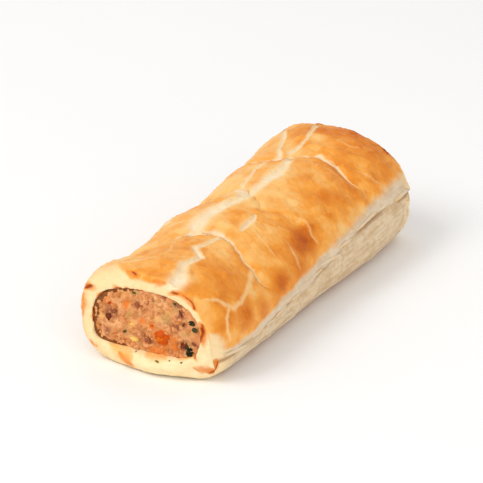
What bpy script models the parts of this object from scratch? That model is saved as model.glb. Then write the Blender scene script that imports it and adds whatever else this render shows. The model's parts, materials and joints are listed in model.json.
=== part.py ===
"""Sausage roll: puff pastry baked round a seasoned meat filling and cut square at both ends.

Frame: metres, +Z up. The roll lies along Y, with its near cut end at -Y, and it rests on its
flat base at Z = 0. The origin is the middle of the base, under the middle of the whole shape.

The pastry is a tube. Its skin is worked out from an angle round the roll, which runs from 0 at
the +X side over the crown at 90 degrees to the -X side at 180, and from the place along Y.
Three slashes across the crown part the skin into four puffs, a long split wanders along the
crown, and the edge of the top sheet makes a seam down the +X side.
"""
import math

import bmesh
import bpy

# Overall size
LENGTH = 0.144              # between the two cuts
NEAR_END = -0.0705          # the lips stand out past both cuts, and further past the near one
FAR_END = NEAR_END + LENGTH
MIDDLE_X = -0.0005          # the widest puff stands out on the right, so the middle line is left of 0

# Half widths and height of the skin by share of the length, before the ends draw in
HALF_WIDTH_RIGHT = ((0.0, 0.0262), (0.25, 0.0277), (0.5, 0.0284), (0.77, 0.0314), (1.0, 0.0308))
HALF_WIDTH_LEFT = ((0.0, 0.0294), (0.25, 0.0283), (0.5, 0.0280), (0.77, 0.0291), (1.0, 0.0310))
HEIGHT = ((0.0, 0.0357), (0.25, 0.0340), (0.5, 0.0350), (0.77, 0.0366), (1.0, 0.0391))
WAIST = 0.42                # height of the widest line, as a share of the height
BASE_PRESS = 0.0012         # how far the round underside is pressed flat

# Squareness of the outline in each quarter: 2 is an ellipse, more is squarer
SQUARE_TOP_RIGHT = 2.0
SQUARE_TOP_LEFT = 2.65
SQUARE_BASE_RIGHT = 3.7
SQUARE_BASE_LEFT = 2.8

# How far each end draws in, and over what length
DRAW_IN_LENGTH = 0.011
NEAR_DRAW_IN = {"right": 0.0038, "left": 0.0022, "top": 0.0006}
FAR_DRAW_IN = {"right": 0.0019, "left": 0.0005, "top": 0.0009}
NEAR_SKEW = 0.0012          # each cut runs this far askew at each side
FAR_SKEW = 0.0012
CORNER_SETBACK = 0.0043     # the near cut's lower right corner curls back
CORNER_ANGLE = -38.0
CORNER_TIGHTNESS = 6        # higher keeps the curl closer to the corner

# Slashes: the route of each across the crown, as (angle, share of the length), and its depth
SLASHES = (
    {"depth": 0.0015,
     "route": ((0, 0.30), (25, 0.24), (55, 0.27), (80, 0.31), (108, 0.28), (125, 0.21), (155, 0.16))},
    {"depth": 0.0015,
     "route": ((0, 0.49), (30, 0.50), (56, 0.49), (72, 0.47), (98, 0.53), (114, 0.58), (150, 0.54))},
    {"depth": 0.0012,
     "route": ((0, 0.76), (40, 0.78), (65, 0.81), (94, 0.78), (120, 0.75), (150, 0.76))},
)
SLASH_ROLL = 0.0040         # the near puff rolls down into the slash over this length
SLASH_ROLL_ROW = 0.4        # where the extra row on that roll lies, as a share of its length
SLASH_FACE = 0.0022         # the cut face climbs out of it over this length
SLASH_REACH = ((-14, 0.0), (12, 0.8), (40, 1.0), (120, 1.0), (165, 0.2), (185, 0.0))
PUFF_RISE = 0.0010          # how far the skin swells between two slashes

# Splits along the crown: routes as (share of the length, angle, half width), and their depth
SPLITS = (
    ((0.00, 66, 0.0018), (0.10, 74, 0.0018), (0.14, 80, 0.0018), (0.21, 82, 0.0014), (0.29, 74, 0.0010)),
    ((0.29, 117, 0.0020), (0.38, 115, 0.0020), (0.50, 98, 0.0018), (0.64, 96, 0.0014), (0.77, 101, 0.0012)),
    ((0.79, 104, 0.0012), (0.89, 103, 0.0010), (1.00, 111, 0.0009)),
)
SPLIT_DEPTH = 0.0009
SPLIT_EDGE = 1.5            # a split fades out this many half widths from its middle

# Seam: the angle of the groove under the top sheet's edge, by share of the length
SEAM_ROUTE = ((0.0, -15), (0.14, -10), (0.34, -5), (0.45, -2), (0.66, 9), (0.82, 10), (1.0, 5))
SEAM_NOMINAL = -2.0
SEAM_DEPTH = 0.0011
SEAM_LIP = 0.0005
SEAM_WIDTH = 5.0            # degrees from the groove to the lip above it and the bulge below it
SEAM_PULL = 38.0            # degrees over which the mesh columns lean over to follow the groove

# Bore that holds the filling: wall thicknesses and squareness
WALL_RIGHT = 0.0036
WALL_LEFT = 0.0050
WALL_TOP = 0.0053
WALL_BASE = 0.0074
BORE_SQUARE_TOP_RIGHT = 2.4
BORE_SQUARE_TOP_LEFT = 2.1
BORE_SQUARE_BASE_RIGHT = 3.8
BORE_SQUARE_BASE_LEFT = 7.0

# Cut ends: the wall's cut edge bulges a little all round, and the base sheet stands out as a lip
RIM_BULGE = 0.0006
LIP_REACH = ((188, 0.0), (215, 0.0011), (245, 0.0030), (275, 0.0043), (305, 0.0042), (330, 0.0016), (350, 0.0))
FAR_LIP_SHARE = 0.4

# Filling
GAP = 0.0003                # clearance between the filling and the pastry
SHRINK_LEFT = 0.0006        # the meat has shrunk away from the left wall
FILLING_DOME = 0.0009       # the meat stands out past each cut in the middle
FILLING_RIPPLE = 0.0004     # its cut faces are uneven by this much, in twisted lobes
FILLING_LOBES = 5
FILLING_TWIST = 7.0

# Mesh density
SIDE_COLUMNS = 70           # columns over the crown, from one lower side to the other
BASE_COLUMNS = 12           # columns across the underside
SIDE_START = -38.0
SIDE_END = 218.0
PLATE_ROWS = (7, 7, 7, 8)   # rows in each puff, between two slashes
END_CROWDING = 1.4          # higher draws the end puffs' rows closer to the cuts
RIM_ROWS = 4
BORE_ROWS = 2
FILLING_COLUMN_STEP = 2     # the filling uses every second column angle of the bore
FILLING_CAP_ROWS = 5
FILLING_SIDE_ROWS = 2
WELD = 0.00001
SHARP_ANGLE = math.radians(40)


def clamp(value):
    """Hold a value between 0 and 1."""
    return max(0.0, min(1.0, value))


def mix(start, end, share):
    """Go from start to end by a share."""
    return start + (end - start) * share


def ease(share):
    """Go from 0 to 1 with a soft start and a soft end."""
    share = clamp(share)
    return share * share * (3 - 2 * share)


def along_route(route, place, column=1, shape=ease):
    """Read a value from a short route of (place, value, ...) points, eased between them."""
    if place <= route[0][0]:
        return route[0][column]
    for before, after in zip(route, route[1:]):
        if place <= after[0]:
            share = (place - before[0]) / (after[0] - before[0])
            return mix(before[column], after[column], shape(share))
    return route[-1][column]


def profile(route, share):
    """Read a width or a height, in straight runs between the points of its route."""
    return along_route(route, share, shape=clamp)


def wrap(angle):
    """Bring an angle in degrees into the range from -90 to 270."""
    return (angle + 90) % 360 - 90


def length_share(y):
    """A place along Y as a share of the length."""
    return (y - NEAR_END) / LENGTH


def superellipse(cosine, sine, across, upright, square):
    """How far a rounded box shape reaches from its middle in one direction."""
    return (abs(cosine / across) ** square + abs(sine / upright) ** square) ** (-1 / square)


def draw_in(y, side):
    """How far a side of the skin is drawn in at a place along the roll."""
    near = clamp(1 - (y - NEAR_END) / DRAW_IN_LENGTH) ** 2
    far = clamp(1 - (FAR_END - y) / DRAW_IN_LENGTH) ** 2
    return NEAR_DRAW_IN[side] * near + FAR_DRAW_IN[side] * far


def outline(angle, y):
    """The plain skin's x and z at an angle and a place along the roll, with no relief."""
    share = length_share(y)
    cosine = math.cos(math.radians(angle))
    sine = math.sin(math.radians(angle))
    height = profile(HEIGHT, share) - draw_in(y, "top")
    waist = WAIST * height
    if cosine >= 0:
        across = profile(HALF_WIDTH_RIGHT, share) - draw_in(y, "right")
        square = SQUARE_TOP_RIGHT if sine >= 0 else SQUARE_BASE_RIGHT
    else:
        across = profile(HALF_WIDTH_LEFT, share) - draw_in(y, "left")
        square = SQUARE_TOP_LEFT if sine >= 0 else SQUARE_BASE_LEFT
    upright = height - waist if sine >= 0 else waist + BASE_PRESS
    reach = superellipse(cosine, sine, across, upright, square)
    return MIDDLE_X + reach * cosine, waist + reach * sine


def slash_place(slash, angle):
    """Where a slash runs along Y, at an angle round the roll."""
    return NEAR_END + LENGTH * along_route(slash["route"], wrap(angle))


def slash_relief(angle, y):
    """The valleys of the three slashes: a soft roll on the near side and a cut face on the far side."""
    relief = 0.0
    for slash in SLASHES:
        beyond = y - slash_place(slash, angle)
        if beyond < 0:
            share = clamp(1 + beyond / SLASH_ROLL) ** 2
        else:
            share = clamp(1 - beyond / SLASH_FACE)
        relief -= slash["depth"] * share
    return relief * along_route(SLASH_REACH, wrap(angle))


def puff_relief(angle, y):
    """The skin swells between the slashes and towards nothing at the underside."""
    edges = [NEAR_END] + [slash_place(slash, angle) for slash in SLASHES] + [FAR_END]
    for start, end in zip(edges, edges[1:]):
        if y <= end:
            swell = math.sin(math.pi * clamp((y - start) / (end - start)))
            return PUFF_RISE * swell * along_route(SLASH_REACH, wrap(angle))
    return 0.0


def split_relief(angle, y):
    """The shallow torn splits that wander along the crown."""
    share = length_share(y)
    for route in SPLITS:
        if route[0][0] <= share <= route[-1][0]:
            x_middle, z_middle = outline(along_route(route, share), y)
            x, z = outline(angle, y)
            away = math.hypot(x - x_middle, z - z_middle)
            return -SPLIT_DEPTH * ease(SPLIT_EDGE - away / along_route(route, share, 2))
    return 0.0


def seam_relief(angle, y):
    """The groove under the top sheet's edge, with the edge standing proud above it."""
    above = wrap(angle) - along_route(SEAM_ROUTE, length_share(y))
    groove = -SEAM_DEPTH * clamp(1 - abs(above) / SEAM_WIDTH)
    lip = SEAM_LIP * clamp(1 - abs(above - SEAM_WIDTH) / SEAM_WIDTH)
    return groove + lip


def skin_point(angle, y):
    """A point on the finished skin."""
    x, z = outline(angle, y)
    relief = slash_relief(angle, y) + puff_relief(angle, y) + split_relief(angle, y) + seam_relief(angle, y)
    x += relief * math.cos(math.radians(angle))
    z += relief * math.sin(math.radians(angle))
    return x, y, max(z, 0.0)


def bore_point(angle, y, clearance=0.0):
    """A point on the wall of the bore, or inside it by a clearance."""
    share = length_share(y)
    right = profile(HALF_WIDTH_RIGHT, share) - NEAR_DRAW_IN["right"] - WALL_RIGHT
    left = profile(HALF_WIDTH_LEFT, share) - NEAR_DRAW_IN["left"] - WALL_LEFT
    top = profile(HEIGHT, share) - NEAR_DRAW_IN["top"] - WALL_TOP
    middle_x = MIDDLE_X + (right - left) / 2
    middle_z = (WALL_BASE + top) / 2
    across = (right + left) / 2 - clearance
    upright = (top - WALL_BASE) / 2 - clearance
    cosine = math.cos(math.radians(angle))
    sine = math.sin(math.radians(angle))
    if sine >= 0:
        square = BORE_SQUARE_TOP_RIGHT if cosine >= 0 else BORE_SQUARE_TOP_LEFT
    else:
        square = BORE_SQUARE_BASE_RIGHT if cosine >= 0 else BORE_SQUARE_BASE_LEFT
    reach = superellipse(cosine, sine, across, upright, square)
    return middle_x + reach * cosine, y, middle_z + reach * sine


def end_place(end, angle):
    """Where the skin ends along Y: the near cut has one corner curled back, the far cut is askew."""
    cosine = math.cos(math.radians(angle))
    if end == "far":
        return FAR_END - FAR_SKEW * (1 + cosine)
    curl = max(0.0, math.cos(math.radians(angle - CORNER_ANGLE))) ** CORNER_TIGHTNESS
    return NEAR_END + NEAR_SKEW * (1 - cosine) + CORNER_SETBACK * curl


def rim_point(end, angle, turn):
    """A point on a cut edge of the wall: turn runs from 0 at the skin to 1 at the bore."""
    edge = end_place(end, angle)
    skin = skin_point(leaned_angle(angle, edge), edge)
    bore = bore_point(angle, NEAR_END if end == "near" else FAR_END - FAR_SKEW)
    lip = along_route(LIP_REACH, angle % 360)
    bulge = RIM_BULGE + lip * (1 if end == "near" else FAR_LIP_SHARE)
    outwards = -1 if end == "near" else 1
    share = (1 - math.cos(math.pi * turn)) / 2
    x, y, z = (mix(a, b, share) for a, b in zip(skin, bore))
    return x, y + outwards * bulge * math.sin(math.pi * turn), z


def column_angles():
    """Angles round the roll: close together over the crown, and wide apart underneath."""
    side = [mix(SIDE_START, SIDE_END, index / SIDE_COLUMNS) for index in range(SIDE_COLUMNS)]
    base = [mix(SIDE_END, SIDE_START + 360, index / BASE_COLUMNS) for index in range(BASE_COLUMNS)]
    return side + base


def leaned_angle(angle, y):
    """Lean a column over near the seam, so that it follows the groove."""
    pull = clamp(1 - abs(wrap(angle) - SEAM_NOMINAL) / SEAM_PULL)
    return angle + (along_route(SEAM_ROUTE, length_share(y)) - SEAM_NOMINAL) * pull


def row_place(plate, share, angle):
    """Where a row runs along Y: between the far shoulder of one slash and the near one of the next."""
    if plate == 0:
        start = end_place("near", angle)
        share = share ** END_CROWDING
    else:
        start = slash_place(SLASHES[plate - 1], angle) + SLASH_FACE
    if plate == len(SLASHES):
        end = end_place("far", angle)
        share = 1 - (1 - share) ** END_CROWDING
    else:
        end = slash_place(SLASHES[plate], angle) - SLASH_ROLL
    return mix(start, end, share)


def skin_stations():
    """All the places along the skin, each a function of the angle, with the slashes' floors between."""
    stations = []
    for plate, count in enumerate(PLATE_ROWS):
        for step in range(count + 1):
            stations.append(lambda angle, p=plate, s=step / count: row_place(p, s, angle))
        if plate < len(SLASHES):
            slash = SLASHES[plate]
            stations.append(lambda angle, s=slash: slash_place(s, angle) - SLASH_ROLL * SLASH_ROLL_ROW)
            stations.append(lambda angle, s=slash: slash_place(s, angle))
    return stations


def wrapped_grid(columns, rows, place):
    """A grid whose points are put in place by column and row, then welded where its edges meet."""
    mesh = bmesh.new()
    bmesh.ops.create_grid(mesh, x_segments=columns, y_segments=rows, size=1.0)
    for vertex in mesh.verts:
        column = round((vertex.co.x + 1) / 2 * columns)
        row = round((vertex.co.y + 1) / 2 * rows)
        vertex.co = place(column % columns, row)
    bmesh.ops.remove_doubles(mesh, verts=mesh.verts, dist=WELD)
    bmesh.ops.recalc_face_normals(mesh, faces=mesh.faces)
    bmesh.ops.triangulate(mesh, faces=mesh.faces)
    return mesh


def material(name, colour, roughness):
    """A Principled material of one colour."""
    finish = bpy.data.materials.new(name)
    finish.use_nodes = True
    shader = finish.node_tree.nodes["Principled BSDF"]
    shader.inputs["Base Color"].default_value = (*colour, 1.0)
    shader.inputs["Roughness"].default_value = roughness
    shader.inputs["Metallic"].default_value = 0.0
    finish.diffuse_color = (*colour, 1.0)
    return finish


def add_object(name, mesh, finish):
    """Put a finished bmesh into the scene as a smooth object."""
    data = bpy.data.meshes.new(name)
    mesh.to_mesh(data)
    mesh.free()
    data.materials.append(finish)
    data.shade_smooth()
    data.set_sharp_from_angle(angle=SHARP_ANGLE)
    item = bpy.data.objects.new(name, data)
    bpy.context.scene.collection.objects.link(item)
    return item


def make_pastry():
    """The pastry tube: skin, far cut edge, bore and near cut edge, as one closed loop of rows."""
    angles = column_angles()
    loop = [lambda angle, place=place: skin_point(leaned_angle(angle, place(angle)), place(angle))
            for place in skin_stations()]
    for step in range(1, RIM_ROWS + 1):
        loop.append(lambda angle, turn=step / RIM_ROWS: rim_point("far", angle, turn))
    for step in range(1, BORE_ROWS + 1):
        place = mix(FAR_END - FAR_SKEW, NEAR_END, step / BORE_ROWS)
        loop.append(lambda angle, place=place: bore_point(angle, place))
    for step in range(1, RIM_ROWS):
        loop.append(lambda angle, turn=1 - step / RIM_ROWS: rim_point("near", angle, turn))
    mesh = wrapped_grid(len(angles), len(loop), lambda column, row: loop[row % len(loop)](angles[column]))
    return add_object("pastry", mesh, material("pastry", (0.83, 0.43, 0.13), 0.42))


def filling_point(angle, row):
    """A point on the meat core: a rough dome at each end and a plain side between them."""
    rows = 2 * FILLING_CAP_ROWS + FILLING_SIDE_ROWS
    if row <= FILLING_CAP_ROWS:
        spread = row / FILLING_CAP_ROWS
        base, outwards = NEAR_END, -1
    elif row >= rows - FILLING_CAP_ROWS:
        spread = (rows - row) / FILLING_CAP_ROWS
        base, outwards = FAR_END - FAR_SKEW, 1
    else:
        share = (row - FILLING_CAP_ROWS) / FILLING_SIDE_ROWS
        base, outwards, spread = mix(NEAR_END, FAR_END - FAR_SKEW, share), 0, 1.0
    x, y, z = bore_point(angle, base, GAP)
    x += SHRINK_LEFT * clamp((MIDDLE_X - x) / HALF_WIDTH_LEFT[0][1]) ** 2
    x_right, _, z_middle = bore_point(0, base)
    x_middle = (x_right + bore_point(180, base)[0]) / 2
    x = mix(x_middle, x, spread)
    z = mix(z_middle, z, spread)
    turn = FILLING_LOBES * math.radians(angle) + FILLING_TWIST * spread
    ripple = FILLING_RIPPLE * math.sin(turn) * math.sin(math.pi * spread)
    dome = FILLING_DOME * (1 - spread ** 2) - GAP
    return x, y + outwards * (dome + ripple), z


def make_filling():
    """The meat filling, which runs right through the roll and shows at both cut ends."""
    angles = column_angles()[::FILLING_COLUMN_STEP]
    rows = 2 * FILLING_CAP_ROWS + FILLING_SIDE_ROWS
    mesh = wrapped_grid(len(angles), rows, lambda column, row: filling_point(angles[column], row))
    return add_object("filling", mesh, material("filling", (0.56, 0.25, 0.10), 0.5))


def main():
    for item in list(bpy.data.objects):
        bpy.data.objects.remove(item)
    make_pastry()
    make_filling()


main()
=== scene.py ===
"""Looks of a baked sausage roll: glazed puff pastry round a coarse meat filling, in a plain studio.

Frame: metres, +Z up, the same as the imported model. The roll lies along Y with its near cut at -Y,
and it rests on its flat base at Z = 0. A place on the pastry is told by its angle round the roll,
from 0 at the +X side over the crown at 90 to the -X side at 180 degrees, and by its share of the
length between the two cuts, or by how far it lies in from the nearer cut.
"""
import json
import math

import bmesh
import bpy
import numpy as np
from bpy.props import FloatProperty, FloatVectorProperty, IntProperty, PointerProperty
from mathutils import Matrix, Vector, noise

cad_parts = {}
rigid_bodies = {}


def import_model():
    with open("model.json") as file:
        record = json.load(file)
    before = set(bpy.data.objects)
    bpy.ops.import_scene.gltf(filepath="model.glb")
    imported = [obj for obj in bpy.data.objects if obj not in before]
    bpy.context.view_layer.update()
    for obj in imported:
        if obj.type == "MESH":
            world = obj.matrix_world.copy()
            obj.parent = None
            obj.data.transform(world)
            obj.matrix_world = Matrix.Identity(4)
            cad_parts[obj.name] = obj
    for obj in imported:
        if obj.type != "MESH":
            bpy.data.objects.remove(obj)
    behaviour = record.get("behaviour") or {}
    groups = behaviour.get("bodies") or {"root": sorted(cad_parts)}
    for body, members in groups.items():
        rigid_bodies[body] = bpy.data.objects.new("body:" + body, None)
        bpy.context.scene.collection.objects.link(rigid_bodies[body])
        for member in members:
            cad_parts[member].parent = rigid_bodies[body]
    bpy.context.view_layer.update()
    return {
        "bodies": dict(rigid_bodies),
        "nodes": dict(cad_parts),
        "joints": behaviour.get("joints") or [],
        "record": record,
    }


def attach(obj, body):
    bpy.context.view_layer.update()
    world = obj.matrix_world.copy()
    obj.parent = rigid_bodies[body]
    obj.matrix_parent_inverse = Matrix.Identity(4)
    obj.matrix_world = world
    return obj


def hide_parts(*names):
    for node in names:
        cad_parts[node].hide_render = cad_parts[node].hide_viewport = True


bl_info = {
    "name": "Sausage Roll Looks",
    "version": (1, 0, 0),
    "blender": (4, 5, 0),
    "location": "View3D > Sidebar > Bakery",
    "description": "Glazed flaky pastry, meat filling and studio for a baked sausage roll",
    "category": "Object",
}

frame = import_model()
MM = 0.001

# ---------------------------------------------------------------- form of the roll, as packed
LENGTH = 0.144
NEAR_END = -0.0705
FAR_END = NEAR_END + LENGTH
MIDDLE_X = -0.0005
HALF_WIDTH_RIGHT = ((0.0, 0.0262), (0.25, 0.0277), (0.5, 0.0284), (0.77, 0.0314), (1.0, 0.0308))
HALF_WIDTH_LEFT = ((0.0, 0.0294), (0.25, 0.0283), (0.5, 0.0280), (0.77, 0.0291), (1.0, 0.0310))
HEIGHT = ((0.0, 0.0357), (0.25, 0.0340), (0.5, 0.0350), (0.77, 0.0366), (1.0, 0.0391))
WAIST = 0.42
BASE_PRESS = 0.0012
SQUARE_TOP = (2.0, 2.65)            # right, left
SQUARE_BASE = (3.7, 2.8)
DRAW_IN_LENGTH = 0.011
NEAR_DRAW_IN = {"right": 0.0038, "left": 0.0022, "top": 0.0006}
FAR_DRAW_IN = {"right": 0.0019, "left": 0.0005, "top": 0.0009}
NEAR_SKEW = 0.0012
FAR_SKEW = 0.0012
CORNER_SETBACK = 0.0043
CORNER_ANGLE = -38.0
CORNER_TIGHTNESS = 6
WALL = {"right": 0.0036, "left": 0.0050, "top": 0.0053, "base": 0.0074}
BORE_SQUARE_TOP = (2.4, 2.1)
BORE_SQUARE_BASE = (3.8, 7.0)
RIM_BULGE = 0.0006
LIP_REACH = ((188, 0.0), (215, 0.0011), (245, 0.0030), (275, 0.0043), (305, 0.0042), (330, 0.0016), (350, 0.0))
FAR_LIP_SHARE = 0.4
PUFF_RISE = 0.0010
GAP = 0.0003
SEEN_GAP = 0.00008          # the filling lies this close to the wall where the two have baked together
SHRINK_LEFT = 0.0003
FILLING_DOME = 0.0009

# Slashes across the crown: (angle, share of the length, width of the pale band beyond it in mm, share of its depth)
SLASHES = (
    {"depth": 0.0018,
     "route": ((0, 0.30, 0.0, 0.0), (25, 0.24, 0.4, 0.6), (40, 0.250, 0.6, 0.8), (55, 0.27, 0.7, 0.9), (70, 0.295, 1.2, 1.0),
               (80, 0.307, 1.7, 1.0), (90, 0.303, 1.9, 1.0), (100, 0.289, 1.9, 1.0), (112, 0.275, 1.9, 1.0),
               (119, 0.243, 1.6, 1.0), (126, 0.213, 1.4, 1.0), (138, 0.192, 1.2, 0.9), (155, 0.16, 0.8, 0.7), (175, 0.15, 0.0, 0.0))},
    {"depth": 0.0017,
     "route": ((0, 0.49, 0.0, 0.0), (22, 0.508, 0.0, 0.12), (38, 0.506, 0.0, 0.2), (56, 0.491, 0.0, 0.15), (72, 0.474, 0.0, 0.25),
               (86, 0.515, 0.0, 0.25), (98, 0.54, 0.0, 0.4), (112, 0.575, 0.5, 1.0), (122, 0.578, 0.9, 1.0), (130, 0.558, 1.0, 1.0),
               (138, 0.545, 0.9, 1.0), (152, 0.54, 0.6, 0.7), (175, 0.53, 0.0, 0.0))},
    {"depth": 0.0014,
     "route": ((0, 0.76, 0.0, 0.0), (36, 0.775, 0.3, 0.4), (48, 0.787, 0.8, 0.8), (60, 0.803, 0.9, 0.9), (70, 0.811, 1.0, 1.0),
               (79, 0.815, 1.2, 1.0), (90, 0.797, 0.8, 1.0), (104, 0.777, 1.1, 1.0), (114, 0.761, 1.5, 1.0), (125, 0.752, 1.1, 1.0),
               (140, 0.755, 0.8, 0.8), (155, 0.76, 0.5, 0.6), (175, 0.765, 0.0, 0.0))},
)
SLASH_ROLL = 0.0040
SLASH_FACE = 0.0022
SLASH_REACH = ((-14, 0.0), (12, 0.8), (40, 1.0), (135, 1.0), (165, 0.6), (185, 0.0))

# Torn splits and thin lifted edges: routes of (angle, share of the length, half width in mm)
SPLITS = (
    ((60, -0.03, 1.4), (65, 0.0, 2.6), (66, 0.03, 2.8), (70, 0.06, 1.9), (75, 0.095, 1.4), (72, 0.13, 1.1),
     (71, 0.155, 1.1), (79, 0.175, 0.9), (86, 0.197, 1.1), (82, 0.22, 0.9), (79, 0.26, 0.9), (74, 0.295, 1.2)),
    ((108, 0.300, 2.2), (111, 0.325, 3.2), (111, 0.36, 3.0), (110, 0.40, 2.6), (106, 0.44, 2.2), (102, 0.475, 2.0),
     (101, 0.50, 2.2), (102, 0.53, 2.5), (98, 0.57, 1.8), (97, 0.61, 1.8), (95, 0.66, 2.4), (97, 0.71, 1.7), (101, 0.77, 1.0)),
    ((130, 0.542, 0.7), (122, 0.560, 2.1), (113, 0.556, 2.9), (106, 0.545, 2.0)),
    ((106, 0.795, 1.1), (104, 0.83, 0.8), (104, 0.88, 0.6), (107, 0.93, 0.6), (111, 0.98, 0.8), (113, 1.02, 0.5)),
    ((114, 0.775, 1.0), (120, 0.81, 0.7), (125, 0.85, 0.7), (129, 0.90, 0.9), (136, 0.95, 0.5)),
    ((118, 0.585, 0.9), (119, 0.63, 0.7), (120, 0.69, 0.7), (119, 0.745, 0.6)),
    ((68, 0.340, 0.5), (69, 0.365, 1.1), (69, 0.40, 1.0), (71, 0.43, 0.3)),
    ((150, 0.30, 0.3), (145, 0.35, 0.9), (147, 0.41, 0.7), (153, 0.46, 0.3)),
    ((166, 0.58, 0.3), (160, 0.64, 0.9), (163, 0.70, 0.6), (158, 0.74, 0.3)),
    ((172, 0.05, 0.3), (166, 0.09, 0.8), (170, 0.13, 0.6), (164, 0.17, 0.3)),
    ((155, 0.83, 0.3), (160, 0.88, 0.7), (168, 0.92, 0.4)),
)
# Thin raised edges of the top leaf, in the same way
EDGES = (
    ((38, 0.03, 0.25), (32, 0.054, 0.4), (26, 0.067, 0.55), (21, 0.088, 0.6), (21, 0.12, 0.45), (25, 0.16, 0.5),
     (28, 0.195, 0.6), (31, 0.225, 0.9), (34, 0.25, 0.5)),
    ((22, 0.072, 0.3), (17, 0.052, 0.35), (8, 0.045, 0.35), (0, 0.05, 0.3)),
)
# Fainter ones
FAINT_EDGES = (
    ((155, 0.55, 0.5), (140, 0.60, 1.3), (133, 0.66, 0.8)),
    ((67, 0.375, 0.45), (58, 0.362, 0.4), (48, 0.350, 0.45), (36, 0.338, 0.4), (24, 0.330, 0.25)),
    ((35, 0.410, 0.3), (28, 0.400, 0.5), (20, 0.392, 0.5), (13, 0.388, 0.3)),
    ((46, 0.512, 0.3), (36, 0.520, 0.5), (27, 0.508, 0.5), (18, 0.510, 0.3)),
    ((124, 0.040, 0.4), (118, 0.055, 1.0), (112, 0.075, 0.8), (104, 0.105, 0.4), (100, 0.135, 0.35), (105, 0.17, 0.5), (109, 0.20, 0.3)),
    ((76, 0.762, 0.3), (66, 0.770, 0.35), (55, 0.762, 0.35), (45, 0.752, 0.4), (36, 0.765, 0.3)),
    ((44, 0.822, 0.3), (36, 0.832, 0.5), (30, 0.838, 0.5), (24, 0.848, 0.3)),
    ((62, 0.560, 0.3), (50, 0.552, 0.35), (40, 0.560, 0.3)), ((78, 0.905, 0.3), (66, 0.898, 0.4), (55, 0.905, 0.3)),
)
SPLIT_DEPTH = 0.0005
SPLIT_LIFT = 0.0003
EDGE_LIFT = 0.00026
FAINTNESS = 0.9

# The left shoulder's dents and swellings, as (share of the length, rise in mm), strongest at one angle
SHOULDER = ((0.0, 0.3), (0.05, 0.0), (0.12, -1.2), (0.17, -2.0), (0.23, -1.4), (0.33, -1.2), (0.385, -0.2), (0.43, -0.8), (0.48, -1.6),
            (0.54, -1.9), (0.60, -1.4), (0.66, -1.2), (0.74, -0.2), (0.80, -0.8), (0.86, -1.5), (0.93, -0.8), (1.0, 0.0))
SHOULDER_ANGLE = 138.0
SHOULDER_SPREAD = 42.0

# Seam down the +X side: the groove under the top sheet's edge, as (share of the length, angle)
SEAM_ROUTE = ((0.0, -15), (0.14, -10), (0.34, -5), (0.45, -2), (0.66, 9), (0.82, 10), (1.0, 5))
SEAM_NOMINAL = -2.0
SEAM_PULL = 38.0
SEAM_DEPTH = 0.0013
SEAM_LIP = 0.0006
SEAM_STEP = 1.6             # degrees over which the top sheet's edge drops into the groove
SEAM_FADE = 7.0             # degrees over which the sheet rises to its edge, and the groove fills again

# Where the egg glaze ends: on each side as (share, angle), at each cut as (angle, distance in from it in mm)
GLAZE_RIGHT = ((0.0, -3), (0.05, -6), (0.12, -5), (0.20, -1), (0.30, 4), (0.40, 8), (0.50, 9.5), (0.55, 11.5), (0.60, 14),
               (0.70, 17), (0.80, 19.5), (0.90, 20.5), (1.0, 21))
GLAZE_LEFT = ((0.0, 176), (0.12, 184), (0.27, 180), (0.4, 188), (0.55, 183), (0.7, 189), (0.85, 184), (1.0, 188))
GLAZE_NEAR = ((-5, 3.8, 4.6), (2, 3.4, 4.4), (8, 2.4, 3.6), (14, -0.6, 2.4), (22, -1.5, 1.4), (36, -1.0, 1.0),
              (45, -0.5, 0.9), (51, -1.0, 0.9), (57, -1.5, 0.9), (62, 0.0, 1.0), (70, 0.0, 1.0), (75, -1.4, 1.0),
              (82, -2.0, 1.0), (98, -2.4, 1.0), (112, -2.2, 1.2), (119, -0.8, 1.8), (125, 1.2, 2.6),
              (134, 2.8, 3.2), (150, 3.6, 3.6), (165, 3.8, 3.6), (185, 5.0, 3.6))
GLAZE_FAR = ((0, 2.5, 3.0), (20, 0.5, 1.6), (45, -1.0, 1.2), (70, -2.0, 1.2), (95, -1.2, 1.2), (110, 0.4, 1.2),
             (125, -1.4, 1.2), (150, 0.8, 2.0), (185, 2.5, 3.0))

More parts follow.
